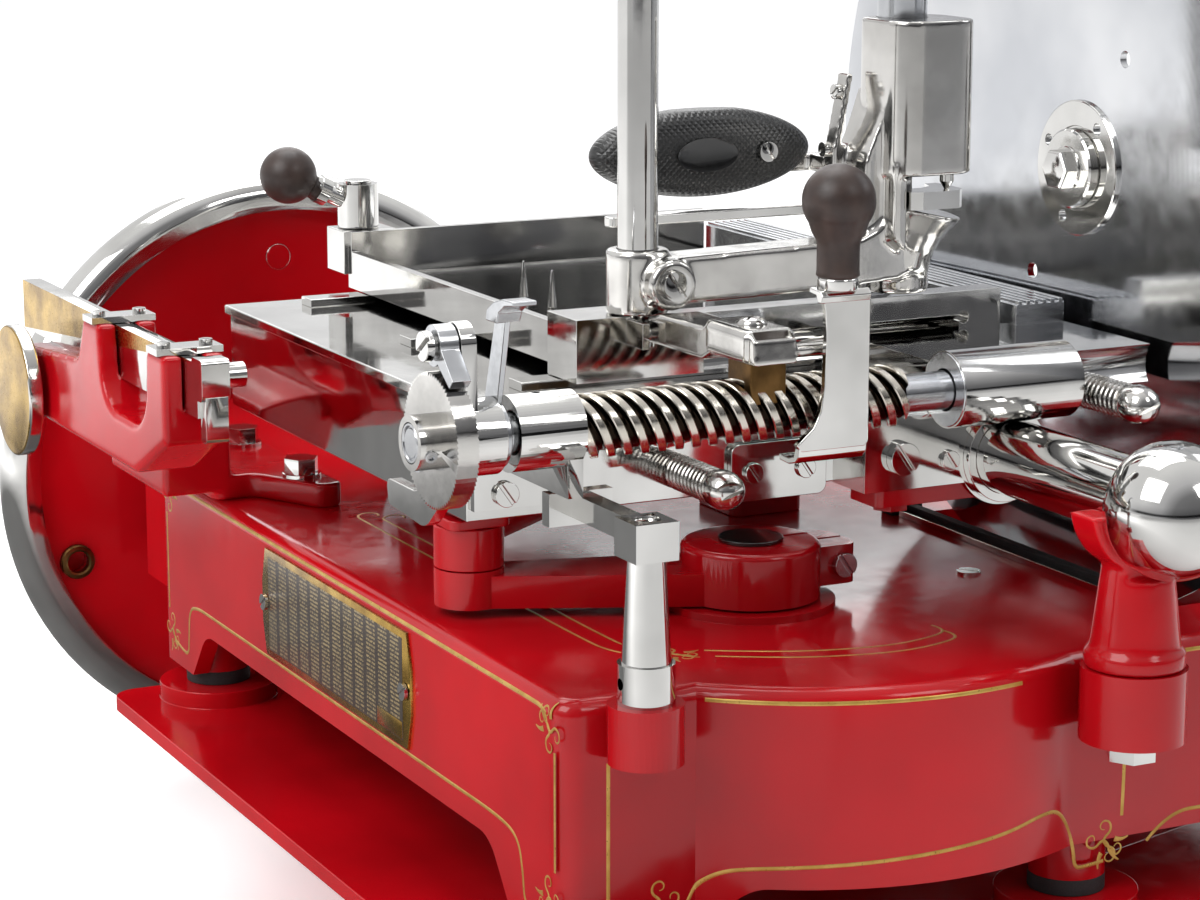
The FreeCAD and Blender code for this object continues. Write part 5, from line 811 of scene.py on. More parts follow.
@dataclass
class GoldLines:
    """The gilt lines and scrolls painted on the case."""

    walls: CaseWalls = CaseWalls()
    width_mm: float = 1.5
    proud_mm: float = 0.16

    def build(self) -> None:
        """Paints each wall in turn."""
        self.left_wall()
        self.near_wall()
        self.deck()

    def stroke(self, bench: Bench, wall: Wall, points: list[Flat],
               width_mm: float | None = None, taper: bool = False) -> None:
        """Lays one smooth stroke on a wall.

        Args:
            bench: The piece that it joins.
            wall: The wall that it lies on.
            points: Control points on that wall, in millimetres.
            width_mm: Its width, if not the usual one.
            taper: Whether its far end runs out to a point.
        """
        width = (width_mm or self.width_mm) / 1000.0
        line = bpy.data.curves.new("stroke", "CURVE")
        line.dimensions = "3D"
        line.bevel_depth = width / 2.0
        line.bevel_resolution = 1
        line.use_fill_caps = True
        line.resolution_u = 10
        spline = line.splines.new("NURBS")
        spline.points.add(len(points) - 1)
        for number, (point, (along, up)) in enumerate(zip(spline.points, points)):
            point.co = (along / 1000.0, up / 1000.0, 0.0, 1.0)
            point.radius = 1.0 - 0.75 * number / (len(points) - 1) if taper else 1.0
        spline.order_u = 3
        spline.use_endpoint_u = True
        holder = bpy.data.objects.new("stroke", line)
        data = bpy.data.meshes.new_from_object(holder)
        bpy.data.objects.remove(holder)
        part = shape_of(data)
        flat = 2.0 * self.proud_mm / 1000.0 / width
        for vert in part.verts:
            vert.co = mm(*wall(vert.co.x * 1000.0, vert.co.y * 1000.0, vert.co.z * 1000.0 * flat))
        bench.add(part)

    def scroll(self, bench: Bench, wall: Wall, along: float, up: float, turn: float,
               size_mm: float = 11.0) -> None:
        """Paints a traditional corner scroll: four curls and three leaves about a point.

        Args:
            bench: The piece that it joins.
            wall: The wall that it lies on.
            along: Where it is, along the wall.
            up: Where it is, up the wall.
            turn: Its tilt in degrees.
            size_mm: From its middle to its tips.
        """
        way = Matrix.Rotation(math.radians(turn), 2)
        for side, reach, first in ((1, 0.62, 20), (-1, 0.62, 20), (1, 0.5, 140), (-1, 0.5, 140)):
            heart = Vector((math.sin(math.radians(first)) * reach * side,
                            math.cos(math.radians(first)) * reach))
            curl = [Vector((0.0, 0.0))]
            for step in range(7):
                spread = 0.4 * (1.0 - step / 8.0)
                angle = math.radians(first + 180 + 62 * step)
                curl.append(heart + Vector((math.sin(angle) * side, math.cos(angle))) * spread)
            path = [way @ (point * size_mm) for point in curl]
            self.stroke(bench, wall, [(along + point.x, up + point.y) for point in path], 1.3, taper=True)
        for lean in (-52, 0, 52):
            tip = Vector((math.sin(math.radians(lean)), math.cos(math.radians(lean))))
            side = Vector((tip.y, -tip.x)) * 0.12
            leaf = [way @ (point * size_mm) for point in (tip * 0.45, tip * 0.72 + side, tip * 1.02)]
            self.stroke(bench, wall, [(along + point.x, up + point.y) for point in leaf], 2.3, taper=True)

    def paint(self, name: str, wall: Wall, strokes: list[list[Flat]], scrolls: list[Point],
              width_mm: float | None = None) -> None:
        """Paints the strokes and scrolls of one wall.

        Args:
            name: The piece's name.
            wall: The wall.
            strokes: The control points of each stroke.
            scrolls: Where each scroll is on the wall, and its tilt.
            width_mm: The strokes' width, if not the usual one.
        """
        bench = Bench()
        for points in strokes:
            self.stroke(bench, wall, points, width_mm)
        for along, up, turn in scrolls:
            self.scroll(bench, wall, along, up, turn)
        piece(name, bench.mesh, "base", [Surface.GILT])

    def left_wall(self) -> None:
        """Two lines along the left wall, the uprights that join them, and four scrolls."""
        self.paint("left_wall_lines", self.walls.left, [
            [(207, 204.8), (200, 204.8), (100, 204.8), (0, 204.8), (-100, 204.8), (-168, 204.8),
             (-176, 204.6), (-180, 203)],
            [(237, 190), (237, 165), (237, 143)],
            [(-187, 190), (-187, 165), (-187, 145)],
            [(230, 129), (219, 126), (211, 126), (210, 134), (208, 149), (196, 152), (180, 152), (100, 152),
             (0, 152), (-100, 152), (-140, 152), (-156, 149), (-160, 136), (-161, 126),
             (-166, 126), (-172, 127)]],
            [(233, 199, 40), (233, 133, 140), (-183, 197, -40), (-182, 134, -140)])

    def near_wall(self) -> None:
        """Two lines along the near wall, three uprights and two scrolls."""
        self.paint("near_wall_lines", self.walls.near, [
            [(-151, 204.2), (-137, 204.2), (-122, 204.2), (-104, 204.2), (-88, 204.2),
             (-62, 204.2), (-36, 204.2)],
            [(-157, 126), (-154, 133), (-147, 139), (-139, 141), (-124, 142), (-96, 143.5), (-63, 145.5),
             (-40, 147.5), (-24, 150.5), (-14, 150), (-7, 141), (-4, 132), (-3.3, 124), (2, 124), (10, 125)],
            [(-189, 185), (-189, 160), (-189, 128)],
            [(18.4, 180), (18.4, 160), (18, 142)],
            [(128, 204.2), (100, 204.2), (60, 204.2), (30, 204.2)],
            [(128, 126), (100, 140), (60, 140), (40, 140), (30, 130)]],
            [(10, 133, -140), (-168, 129, 140)])

    def deck(self) -> None:
        """Pairs of fine lines round the deck, and a scroll at its corner."""
        strokes = []
        for inset in (0.0, 9.0):
            strokes += [
                [(-153 + inset, 108 - inset), (-150 + inset, 113 - inset), (-156 + inset, 117 - inset),
                 (-162 + inset, 112 - inset), (-162 + inset, 100), (-162 + inset, 0), (-162 + inset, -120),
                 (-160 + inset, -136), (-156 + inset, -142)],
                [(-128, -160 + inset), (-112, -170 + inset), (-90, -180 + inset), (-62, -186 + inset),
                 (-40, -182 + inset), (-30, -176 + inset), (-32, -168 + inset)]]
        self.paint("deck_lines", self.walls.deck, strokes, [(-141, -150, -140)], 1.2)


@dataclass
class IndexPlate:
    """The etched data plate: brass rim with bowed ends, dark field, a small brass tablet."""

    near: float = -59.0
    far: float = 106.0
    bottom: float = 154.0
    top: float = 202.0
    face_x: float = -208.0
    thickness: float = 1.2
    rim: float = 3.0

    def outline(self, inset: float) -> list[Flat]:
        """The plate's outline moved inwards; the short ends bow out.

        Args:
            inset: How far in, in millimetres.

        Returns:
            Points along Y and Z.
        """
        near, far = self.near + inset, self.far - inset
        low, high = self.bottom + inset, self.top - inset
        middle = (low + high) / 2.0
        bow = 4.0 if inset < 1.0 else 0.0
        end = 0.0 if bow else 5.0
        return [(near + bow + end, low), (far - bow - end, low), (far - end, middle - 9),
                (far - end, middle + 9), (far - bow - end, high), (near + bow + end, high),
                (near + end, middle + 9), (near + end, middle - 9)]

    def build(self) -> None:
        """Builds the plate in place of its plain blank."""
        bench = Bench()
        front = self.face_x - self.thickness
        bench.slab(self.outline(0.0), "x", self.face_x, front, 0, 0.35)
        bench.slab(self.outline(self.rim), "x", front + 0.1, front - 0.12, 1, 0.08)
        tablet = [(self.near + 8.5, self.bottom + 3.4), (self.near + 34, self.bottom + 3.4),
                  (self.near + 34, self.bottom + 10.5), (self.near + 8.5, self.bottom + 10.5)]
        bench.slab(tablet, "x", front, front - 0.3, 0, 0.1)
        piece("data_plate", bench.mesh, "base", [Surface.BRASS, Surface.ETCHED], ("index_plate",))


@dataclass
class ClampGrip:
    """The oval grip: chequered sides, a smooth border and a blank oval medallion."""

    centre: Point = (-75.5, -48.0, 384.0)
    length: float = 98.0
    height: float = 34.0
    thickness: float = 24.0

    def build(self) -> None:
        """Builds the grip in place of its plain blank."""
        bench = Bench()
        part = bmesh.new()
        bmesh.ops.create_uvsphere(part, u_segments=96, v_segments=48, radius=1.0,
                                  matrix=Matrix.Rotation(math.radians(90), 4, "Y"))
        half = Vector((self.length / 2.0, self.thickness / 2.0, self.height / 2.0))
        for vert in part.verts:
            flat = math.tanh(vert.co.y * 1.5) / math.tanh(1.5)
            stretch = 1.0 + 0.06 * (1.0 - vert.co.x ** 2)
            vert.co = Vector((vert.co.x * half.x, flat * half.y, min(vert.co.z * half.z * stretch, half.z)))
        bmesh.ops.scale(part, vec=(0.001, 0.001, 0.001), verts=part.verts)
        bmesh.ops.translate(part, vec=mm(*self.centre), verts=part.verts)
        bench.add(part, 0)
        self.medallion(bench)
        piece("grip_shell", bench.mesh, "clamp_arm", [Surface.GRIP, Surface.EBONITE],
              ("clamp_grip",), smooth=60)

    def medallion(self, bench: Bench) -> None:
        """Adds a smooth blank oval with a raised rim, on the near side.

        Args:
            bench: The piece that it joins.
        """
        x, y, z = self.centre
        part = bmesh.new()
        bmesh.ops.create_circle(part, cap_ends=True, radius=1.0, segments=64,
                                matrix=Matrix.Rotation(math.radians(90), 4, "X"))
        bmesh.ops.scale(part, vec=(0.0135, 1.0, 0.0068), verts=part.verts)
        bmesh.ops.translate(part, vec=mm(x - 3, y - self.thickness / 2.0 + 1.0, z), verts=part.verts)
        bmesh.ops.inset_region(part, faces=pull(part, part.faces[:], mm(0, -1.5, 0)),
                               thickness=0.0012, depth=-0.0003)
        bench.add(part, 1)


@dataclass
class ClampCasting:
    """The polished casting of the meat clamp: hub, beam, foot, body, cylinder block and tang."""

    hub_x: float = -118.0
    axis_y: float = -76.0
    shaft_x: float = 1.0
    bottom: float = 326.3
    skin_mm: float = 0.8

    def build(self) -> None:
        """Heaps the shapes, gives them one skin and puts it in place of the arm."""
        bench = Bench()
        self.beam(bench)
        self.body(bench)
        self.block(bench)
        self.tang(bench)
        cast = Bench()
        cast.add(skinned(bench.mesh, self.skin_mm, 12))
        bores = Bench()
        bores.turned([(0, -4), (10.4, -4), (10.4, 120), (0, 120)], (self.shaft_x, self.axis_y, self.bottom))
        bores.turned([(0, -4), (8.4, -4), (8.4, 34), (0, 34)], (self.hub_x, self.axis_y, self.bottom))
        cast.subtract(bores.mesh)
        piece("clamp_casting", cast.mesh, "clamp_arm", [Surface.NICKEL], ("clamp_arm",), smooth=50)

    def beam(self, bench: Bench) -> None:
        """The hub over the column, its screw lug and the beam that sweeps up into the body.

        Args:
            bench: The piece that it joins.
        """
        y = self.axis_y
        bench.turned([(0, 0), (12.5, 0), (12.5, 24), (11.5, 25), (0, 25)], (self.hub_x, y, self.bottom))
        bench.turned([(0, 0), (9, 0), (10, 1), (10, 18), (0, 18)],
                     (self.hub_x + 6, y - 20, self.bottom + 12.5), AWAY)
        bench.slab([(self.hub_x, 330), (self.hub_x, 348), (-60, 349.5), (-34, 350), (-24, 351), (-17, 354),
                    (-11, 360), (-4, 366), (-1, 336), (-6, 333.5), (-30, 331.5), (-60, 330.5)],
                   "y", y - 14, y + 6)

    def body(self, bench: Bench) -> None:
        """The foot, the column above it with the slot at its right, and the flare under the slot.

        Args:
            bench: The piece that it joins.
        """
        y = self.axis_y
        bench.turned([(0, 0), (12.3, 0), (12.6, 1), (12.4, 16), (12.4, 24), (0, 24)],
                     (self.shaft_x, y, self.bottom))
        bench.turned([(0, 0), (12.4, 0), (12.6, 9), (15.2, 16.5), (19.4, 23.5), (20.2, 25), (0, 25)],
                     (0, y - 2, 336.5), (0.22, -0.08, 1), steps=96)
        bench.slab([(-9, 336), (-16, 344), (-21, 352), (-22, 362), (-22, 380), (-21, 384), (-16, 396),
                    (-12, 408), (0, 408), (0, 336)], "y", y - 12, y + 12)
        bench.slab([(-13.5, 350), (-13.5, 380), (-8, 380), (-8, 345)], "y", y - 21, y - 10)
        bench.slab([(-9, -72), (10, -70), (10, -64), (-9, -64)], "z", 342, 380)

    def block(self, bench: Bench) -> None:
        """The tall block that the press shaft slides in, rounded at its upright edges.

        Args:
            bench: The piece that it joins.
        """
        part = cuboid(mm(38.0, 38.0, 61.5), mm(4.5, -82.0, 406.2))
        round_off(part, [edge for edge in part.edges
                         if abs(edge.verts[0].co.z - edge.verts[1].co.z) > 0.01], 10.5, 12)
        bench.add(part)

    def tang(self, bench: Bench) -> None:
        """The flat tang beside the block, the hand that reaches into the grip, and the trigger's lug.

        Args:
            bench: The piece that it joins.
        """
        y = self.axis_y
        bench.slab([(-27.7, 383), (-24.7, 383), (-18.5, 415), (-21.5, 415)], "y", y + 4, y + 12)
        bench.block((-27.7, y + 4, 377), (-18, y + 12, 386))
        bench.block((-62, -52, 374), (-20, -45, 381))
        bench.block((-27, y + 6, 374), (-20, -45, 381))
        bench.block((-26.5, y + 20.3, 354), (-7, y + 26.3, 366))
        bench.block((-14, y + 10, 354), (-7, y + 26.3, 366))
        bench.turned([(0, 0), (2.5, 0), (2.5, 10), (0, 10)], (-20.5, y + 12, 360), AWAY, steps=24)


@dataclass
class ClampSmallParts:
    """The clamp's screws and the tilting plate in its slot."""

    plate_low: float = 362.2
    plate_high: float = 369.4
    tang_z: float = 0.4

    def build(self) -> None:
        """Keeps the screws of the frame's node, seats two on the tang, and builds the plate and its pin."""
        screws = node_copy("clamp_fittings")
        bmesh.ops.delete(screws, geom=[vert for vert in screws.verts if vert.co.x > 0.005], context="VERTS")
        on_tang = [vert for vert in screws.verts if -0.045 < vert.co.x < -0.02]
        upper = [vert for vert in on_tang if vert.co.z > self.tang_z]
        lower = [vert for vert in on_tang if 0.37 < vert.co.z < self.tang_z]
        bmesh.ops.translate(screws, vec=mm(7.6, 2.5, -1.5), verts=upper)
        bmesh.ops.translate(screws, vec=mm(4.9, 2.5, -5.5), verts=lower)
        bench = Bench()
        bench.add(screws)
        bench.slab([(-7.5, -99), (-3, -101), (14, -101), (17.6, -97), (19, -84), (18, -77), (12.6, -77),
                    (10, -84.5), (4, -88), (-7.5, -88)], "z", self.plate_low, self.plate_high)
        bench.turned([(0, 0), (0.8, 0), (2.9, 3.4), (2.9, 8), (0, 8)], (11.5, -95, 369.2))
        piece("clamp_small_parts", bench.mesh, "clamp_arm", [Surface.CHROME], ("clamp_fittings",), 0.4)


@dataclass
class Knife:
    """The dished knife and the ring, collar and nut that hold it."""

    centre: Point = (82.0, -86.0, 373.0)
    flange_holes: tuple[float, ...] = (26.0, 129.0, 292.0)
    flange_circle: float = 22.2
    knife_holes: tuple[float, ...] = (123.0, 303.0)
    knife_circle: float = 56.0

    def around(self, radius: float, angle: float) -> Point:
        """A place on a circle about the knife's axis."""
        x, y, z = self.centre
        return x, y + radius * math.cos(math.radians(angle)), z + radius * math.sin(math.radians(angle))

    def build(self) -> None:
        """Builds the disc, the hub and the shaft behind it."""
        self.disc()
        self.hub()
        shaft = node_copy("blade_drive")
        bmesh.ops.bisect_plane(shaft, geom=shaft.verts[:] + shaft.edges[:] + shaft.faces[:],
                               plane_co=mm(84.0, 0, 0), plane_no=(1, 0, 0), clear_inner=True)
        bmesh.ops.holes_fill(shaft, edges=[edge for edge in shaft.edges if edge.is_boundary])
        piece("knife_shaft", shaft, "blade", [Surface.STEEL], ("blade_drive",), 0.2)

    def disc(self) -> None:
        """The knife: hollow towards the table, with a ground rim."""
        bench = Bench()
        face = [(12.0, 0.0), (30.0, 0.0), (48.0, 0.5), (68.0, 1.3), (90.0, 2.3), (114.0, 3.6), (138.6, 5.0),
                (142.0, 4.9), (157.6, 2.6), (171.6, 1.1), (183.4, 2.2)]
        back = [(183.4, 1.8), (171.6, -1.6), (157.6, -0.4), (138.6, 1.4), (90.0, -1.2),
                (30.0, -3.2), (12.0, -3.2)]
        bench.turned(face + back + face[:1], self.centre, LEFT, steps=160)
        bench.drill([self.around(self.knife_circle, angle) for angle in self.knife_holes], RIGHT, 3.5)
        piece("knife", bench.mesh, "blade", [Surface.BLADE], ("blade",), smooth=14)

    def hub(self) -> None:
        """The thin ring with three holes, the raised collar, and the domed nut."""
        bench = Bench()
        bench.turned([(0, 0), (28, 0), (28, 1.3), (27.5, 1.7), (17.6, 1.7), (17.3, 0.9), (16.6, 0.9),
                      (16.4, 5.6), (15.6, 6.4), (0, 6.4)], self.centre, LEFT, steps=96)
        bench.drill([self.around(self.flange_circle, angle) for angle in self.flange_holes], RIGHT, 2.6)
        nut = bmesh.new()
        bmesh.ops.create_cone(nut, cap_ends=True, segments=6, radius1=0.0087, radius2=0.0087, depth=0.007)
        bmesh.ops.translate(nut, vec=mm(0, 0, 9.6), verts=nut.verts)
        top = [edge for edge in nut.edges if min(vert.co.z for vert in edge.verts) > 0.012]
        round_off(nut, top, 1.6, profile=0.6)
        Bench.stand(nut, self.centre, LEFT)
        bench.add(nut)
        bench.turned([(0, 6.2), (9.4, 6.2), (9.4, 6.9), (9.0, 7.2), (0, 7.2)], self.centre, LEFT)
        piece("knife_hub", bench.mesh, "blade", [Surface.CHROME], ("blade_clamp",), 0.15)


@dataclass
class FeedScrew:
    """The long feed screw: a fast thread of five starts between two plain ends."""

    axis: Flat = SCREW_AXIS
    left: float = -187.5
    right: float = -52.0
    crest: float = 12.0
    root: float = 9.4
    lead: float = 35.0
    land: float = 0.24
    starts: int = 5
    end_radius: float = 7.5
    stud_circle: float = 9.6
    stud_angles: tuple[float, ...] = (200.0, 285.0)

    def build(self) -> None:
        """Winds the thread and turns the plain ends."""
        bench = Bench()
        self.thread(bench)
        self.ends(bench)
        piece("feed_screw_thread", bench.mesh, "feed_screw", [Surface.THREAD, Surface.STEEL],
              ("lead_screw",), smooth=40)

    def thread(self, bench: Bench) -> None:
        """Winds a ring of crests and grooves along the axis.

        Args:
            bench: The piece that it joins.
        """
        part = bmesh.new()
        ring = bmesh.ops.create_circle(part, cap_ends=True, radius=self.crest / 1000.0,
                                       segments=self.starts * 16)
        for number, vert in enumerate(ring["verts"]):
            place = (number % 16) / 16.0
            depth = min(max((abs(place - 0.5) - self.land) / 0.08, 0.0), 1.0)
            vert.co *= (self.root + (self.crest - self.root) * (1.0 - depth)) / self.crest
        length = self.right - self.left
        steps = int(length / self.lead * 72)
        faces = part.faces[:]
        bmesh.ops.spin(part, geom=part.verts[:] + part.edges[:] + faces, cent=(0, 0, 0), axis=UP,
                       angle=math.tau * length / self.lead, steps=steps, dvec=(0, 0, length / 1000.0 / steps))
        bmesh.ops.holes_fill(part, edges=[edge for edge in part.edges if edge.is_boundary])
        Bench.stand(part, (self.left, *self.axis), RIGHT)
        bench.add(part)

    def ends(self, bench: Bench) -> None:
        """Turns the plain ends, as far as the frame's screw goes, and sets two studs in the left one.

        Args:
            bench: The piece that they join.
        """
        blank = node_copy("lead_screw")
        low, high = (pick(vert.co.x for vert in blank.verts) * 1000.0 for pick in (min, max))
        blank.free()
        bench.turned([(0, 0.3), (5.2, 0.3), (5.5, 0.8), (6.0, 0.8), (6.3, 0), (7.0, 0),
                      (self.end_radius, 0.6), (self.end_radius, self.left + 2.0 - low),
                      (0, self.left + 2.0 - low)],
                     (low, *self.axis), RIGHT, 1)
        bench.turned([(0, 0), (self.end_radius, 0), (self.end_radius, high - self.right),
                      (0, high - self.right)],
                     (self.right - 2.0, *self.axis), RIGHT, 1)
        for angle in self.stud_angles:
            way = (0.0, math.cos(math.radians(angle)), math.sin(math.radians(angle)))
            bench.turned([(0, 0), (2.3, 0), (2.3, 1.1), (1.3, 1.1), (1.3, 0.4), (0, 0.4)],
                         (low + 4.0, self.axis[0] + way[1] * self.stud_circle,
                          self.axis[1] + way[2] * self.stud_circle),
                         way, 1, 24)


@dataclass
class GibSpring:
    """A coil spring over one of the carriage's gib bolts, held by a slotted round nut."""

    name: str
    base: Point
    length: float = 30.0
    radius: float = 6.1
    wire: float = 2.3
    turns: int = 10

    def build(self) -> None:
        """Winds the spring towards the operator and sets the nut before it."""
        bench = Bench()
        bench.coil(self.base, NEAR, self.radius, self.wire, self.turns, self.length)
        piece(self.name, bench.mesh, "carriage", [Surface.WIRE])
        x, y, z = self.base
        nut = Bench()
        nut.turned([(0, 0), (5.4, 0), (7.2, 2.2), (7.7, 4.0), (7.7, 8.0), (6.9, 11.5), (4.8, 14), (2.2, 15.2),
                    (0, 15.5)], (x, y - self.length + 1.0, z), NEAR)
        nut.cut_slot((x, y - self.length - 14.5, z), 1.5, SLOT_TILT, AWAY)
        piece(self.name + "_nut", nut.mesh, "carriage", [Surface.NICKEL], smooth=40)


@dataclass
class NutClasp:
    """The cast block over the feed screw, its dark half nut and the hooked lever that closes it."""

    pivot_y: float = -178.0

    def build(self) -> None:
        """Builds the block, the half nut and the lever."""
        self.block()
        bench = Bench()
        bench.block((-119, -169, 305), (-104, -151, 322), 0.8)
        piece("half_nut_body", bench.mesh, "nut_block", [Surface.BRONZE], ("half_nut",))
        self.lever()

    def block(self) -> None:
        """The rounded block and its arm back to the hinge, with the screw, slotted by itself, on top."""
        bench = Bench()
        bench.slab([(-176, 321), (-175, 330), (-171, 333.5), (-140, 333.5), (-136, 330), (-100, 329),
                    (-88, 325), (-86, 320), (-90, 317), (-136, 317.5), (-142, 320.5)], "x", -121.5, -103.5)
        bench.block((-123.5, -172, 321.5), (-101.5, -141, 332.8), 2.0)
        bench.turned([(0, 0), (2.6, 0), (2.6, 27), (0, 27)], (-103, -172.5, 325), RIGHT, steps=24)
        screw = Bench()
        screw.turned([(0, 0), (5.6, 0), (5.6, 1.0), (4.6, 2.4), (2.4, 3.2), (0, 3.4)], (-112, -157, 333.0))
        screw.cut_slot((-112, -157, 336.6), 1.1, (0.8, 0.6, 0.0), UP)
        cast = Bench()
        cast.add(skinned(bench.mesh, 0.7, 6))
        cast.add(screw.mesh)
        piece("nut_block_casting", cast.mesh, "nut_block", [Surface.NICKEL], ("nut_block",), smooth=SKINNED)

    def lever(self) -> None:
        """The flat lever with a lip at its top, a hook under the screw and a ferrule for its knob."""
        near = self.pivot_y - 2.6
        bench = Bench()
        bench.slab([(-95.5, 344), (-94.5, 340), (-94, 330), (-94.5, 312), (-96, 303), (-99, 297), (-106, 291),
                    (-104, 288.5), (-77, 288.5), (-75.5, 290), (-75.5, 344)], "y", near, near + 3.0)
        bench.slab([(near, 290), (near + 0.5, 286.5), (near + 3, 284), (near + 8, 282.8), (near + 15, 283.2),
                    (near + 15, 285.6), (near + 8, 285.2), (near + 4.2, 286.4),
                    (near + 3, 290)], "x", -105, -76)
        bench.slab([(near, 343), (near - 0.8, 345.6), (near + 1, 347.6), (near + 9, 348), (near + 9, 346),
                    (near + 4, 345.5), (near + 3, 343)], "x", -96.5, -75.5)
        bench.turned([(0, 0), (7.4, 0), (7.6, 0.5), (7.6, 4.2), (6.8, 5.2), (0, 5.2)],
                     (-87.6, self.pivot_y + 1, 347.4))
        piece("clasp_lever", bench.mesh, "nut_lever", [Surface.CHROME], ("nut_lever",), 0.5)


@dataclass
class ReleaseStrip:
    """The thin steel thumb lever that leans towards the operator, with a curved lip."""

    axis: Flat = SCREW_AXIS

    def build(self) -> None:
        """Builds the ring, the strip and its lip."""
        y, z = self.axis
        bench = Bench()
        bench.turned([(8.0, 0), (12.0, 0), (12.0, 2.2), (8.0, 2.2), (8.0, 0)], (-218.7, y, z), RIGHT)
        bench.slab([(y - 3, z + 10.5), (y + 9, z + 8.5), (y - 2, z + 43), (y - 11, z + 43)],
                   "x", -218.7, -216.5)
        bench.slab([(y - 2, z + 42), (y - 11, z + 42), (y - 13, z + 46), (y - 18, z + 49), (y - 25, z + 50),
                    (y - 25, z + 51.6), (y - 16, z + 51.4), (y - 9, z + 49.5), (y - 3, z + 46)],
                   "x", -222.5, -213.0)
        piece("release_strip", bench.mesh, "release_lever", [Surface.STEEL], ("release_lever",), 0.5)


@dataclass
class SmallTrims:
    """Small visible pieces that the frame has no node for, each on its own body."""

    def build(self) -> None:
        """Adds the tube's bush, the cap's screw, and the wheel's ringed hole and spindle cap."""
        bush = Bench()
        bush.turned([(8.2, 0), (14.0, 0), (14.6, 0.6), (14.6, 5), (8.2, 5), (8.2, 0)],
                    (-29.4, -160, 302), RIGHT)
        piece("screw_tube_bush", bush.mesh, "carriage", [Surface.STEEL], edge_mm=0.2)
        self.cap_screw()
        self.wheel_trims()

    def cap_screw(self) -> None:
        """The slotted screw, sunk into the near end of the slide rod's ball cap."""
        cap = Bench()
        cap.add(node_copy("ball_cap"))
        recess = Bench()
        recess.turned([(0, 0), (6.0, 0), (6.0, 9), (0, 9)], (5, -284.6, 271.7), NEAR)
        cap.subtract(recess.mesh)
        piece("ball_cap_bored", cap.mesh, "base", [Surface.CHROME], ("ball_cap",), 0.2)
        screw = Bench()
        screw.turned([(0, 0), (5.5, 0), (5.5, 0.6), (4.6, 1.3), (0, 1.6)], (5, -284.6, 271.7), NEAR)
        screw.cut_slot((5, -286.4, 271.7), 1.1, SLOT_TILT, AWAY)
        piece("ball_cap_screw", screw.mesh, "base", [Surface.NICKEL], edge_mm=0.1)

    def wheel_trims(self) -> None:
        """The bronze ring in the wheel's hole, the wall behind it and the flush end of the spindle."""
        hole = (CRANK_X - 118.0, WHEEL_NEAR, DRIVE_Z - 44.0)
        ring = Bench()
        ring.turned([(5.9, 1.0), (5.9, -3.4), (6.9, -4.0), (8.6, -3.6), (9.3, -2.6), (9.3, 1.0), (5.9, 1.0)],
                    hole, AWAY)
        piece("wheel_hole_ring", ring.mesh, "flywheel", [Surface.BRONZE])
        wall = Bench()
        wall.turned([(0, 6.5), (6.4, 6.5), (6.4, 8.5), (0, 8.5)], hole, AWAY)
        wall.turned([(0, -0.4), (6.3, -0.4), (7.3, 0.6), (7.3, 6.0), (0, 6.0)],
                    (CRANK_X, WHEEL_NEAR, DRIVE_Z + HANDLE_RADIUS), AWAY)
        piece("wheel_plugs", wall.mesh, "flywheel", [Surface.ENAMEL])


@dataclass
class BallKnob:
    """A matt pressed knob: a ball that runs down into a thick straight neck."""

    base: Point
    axis: Point
    neck: float = 7.9
    radius: float = 13.6
    rise: float = 28.0

    def build(self, name: str, body: str, node: str) -> None:
        """Turns the knob in place of its blank.

        Args:
            name: The piece's name.
            body: The body that carries it.
            node: The node that it stands for.
        """
        bench = Bench()
        low = self.neck - 0.6
        profile = [(0.0, 0.0), (low, 0.0), (low + 0.8, 0.8), (self.neck, 2.5), (self.neck, self.rise * 0.42),
                   (self.neck + 0.5, self.rise * 0.50), (self.neck + 1.9, self.rise * 0.58)]
        start = -math.acos((self.neck + 3.2) / self.radius)
        profile += [(self.radius * math.cos(start + (math.pi / 2 - start) * step / 24),
                     self.rise + self.radius * math.sin(start + (math.pi / 2 - start) * step / 24))
                    for step in range(25)]
        bench.turned(profile, self.base, self.axis)
        piece(name, bench.mesh, body, [Surface.BAKELITE], (node,), smooth=60)


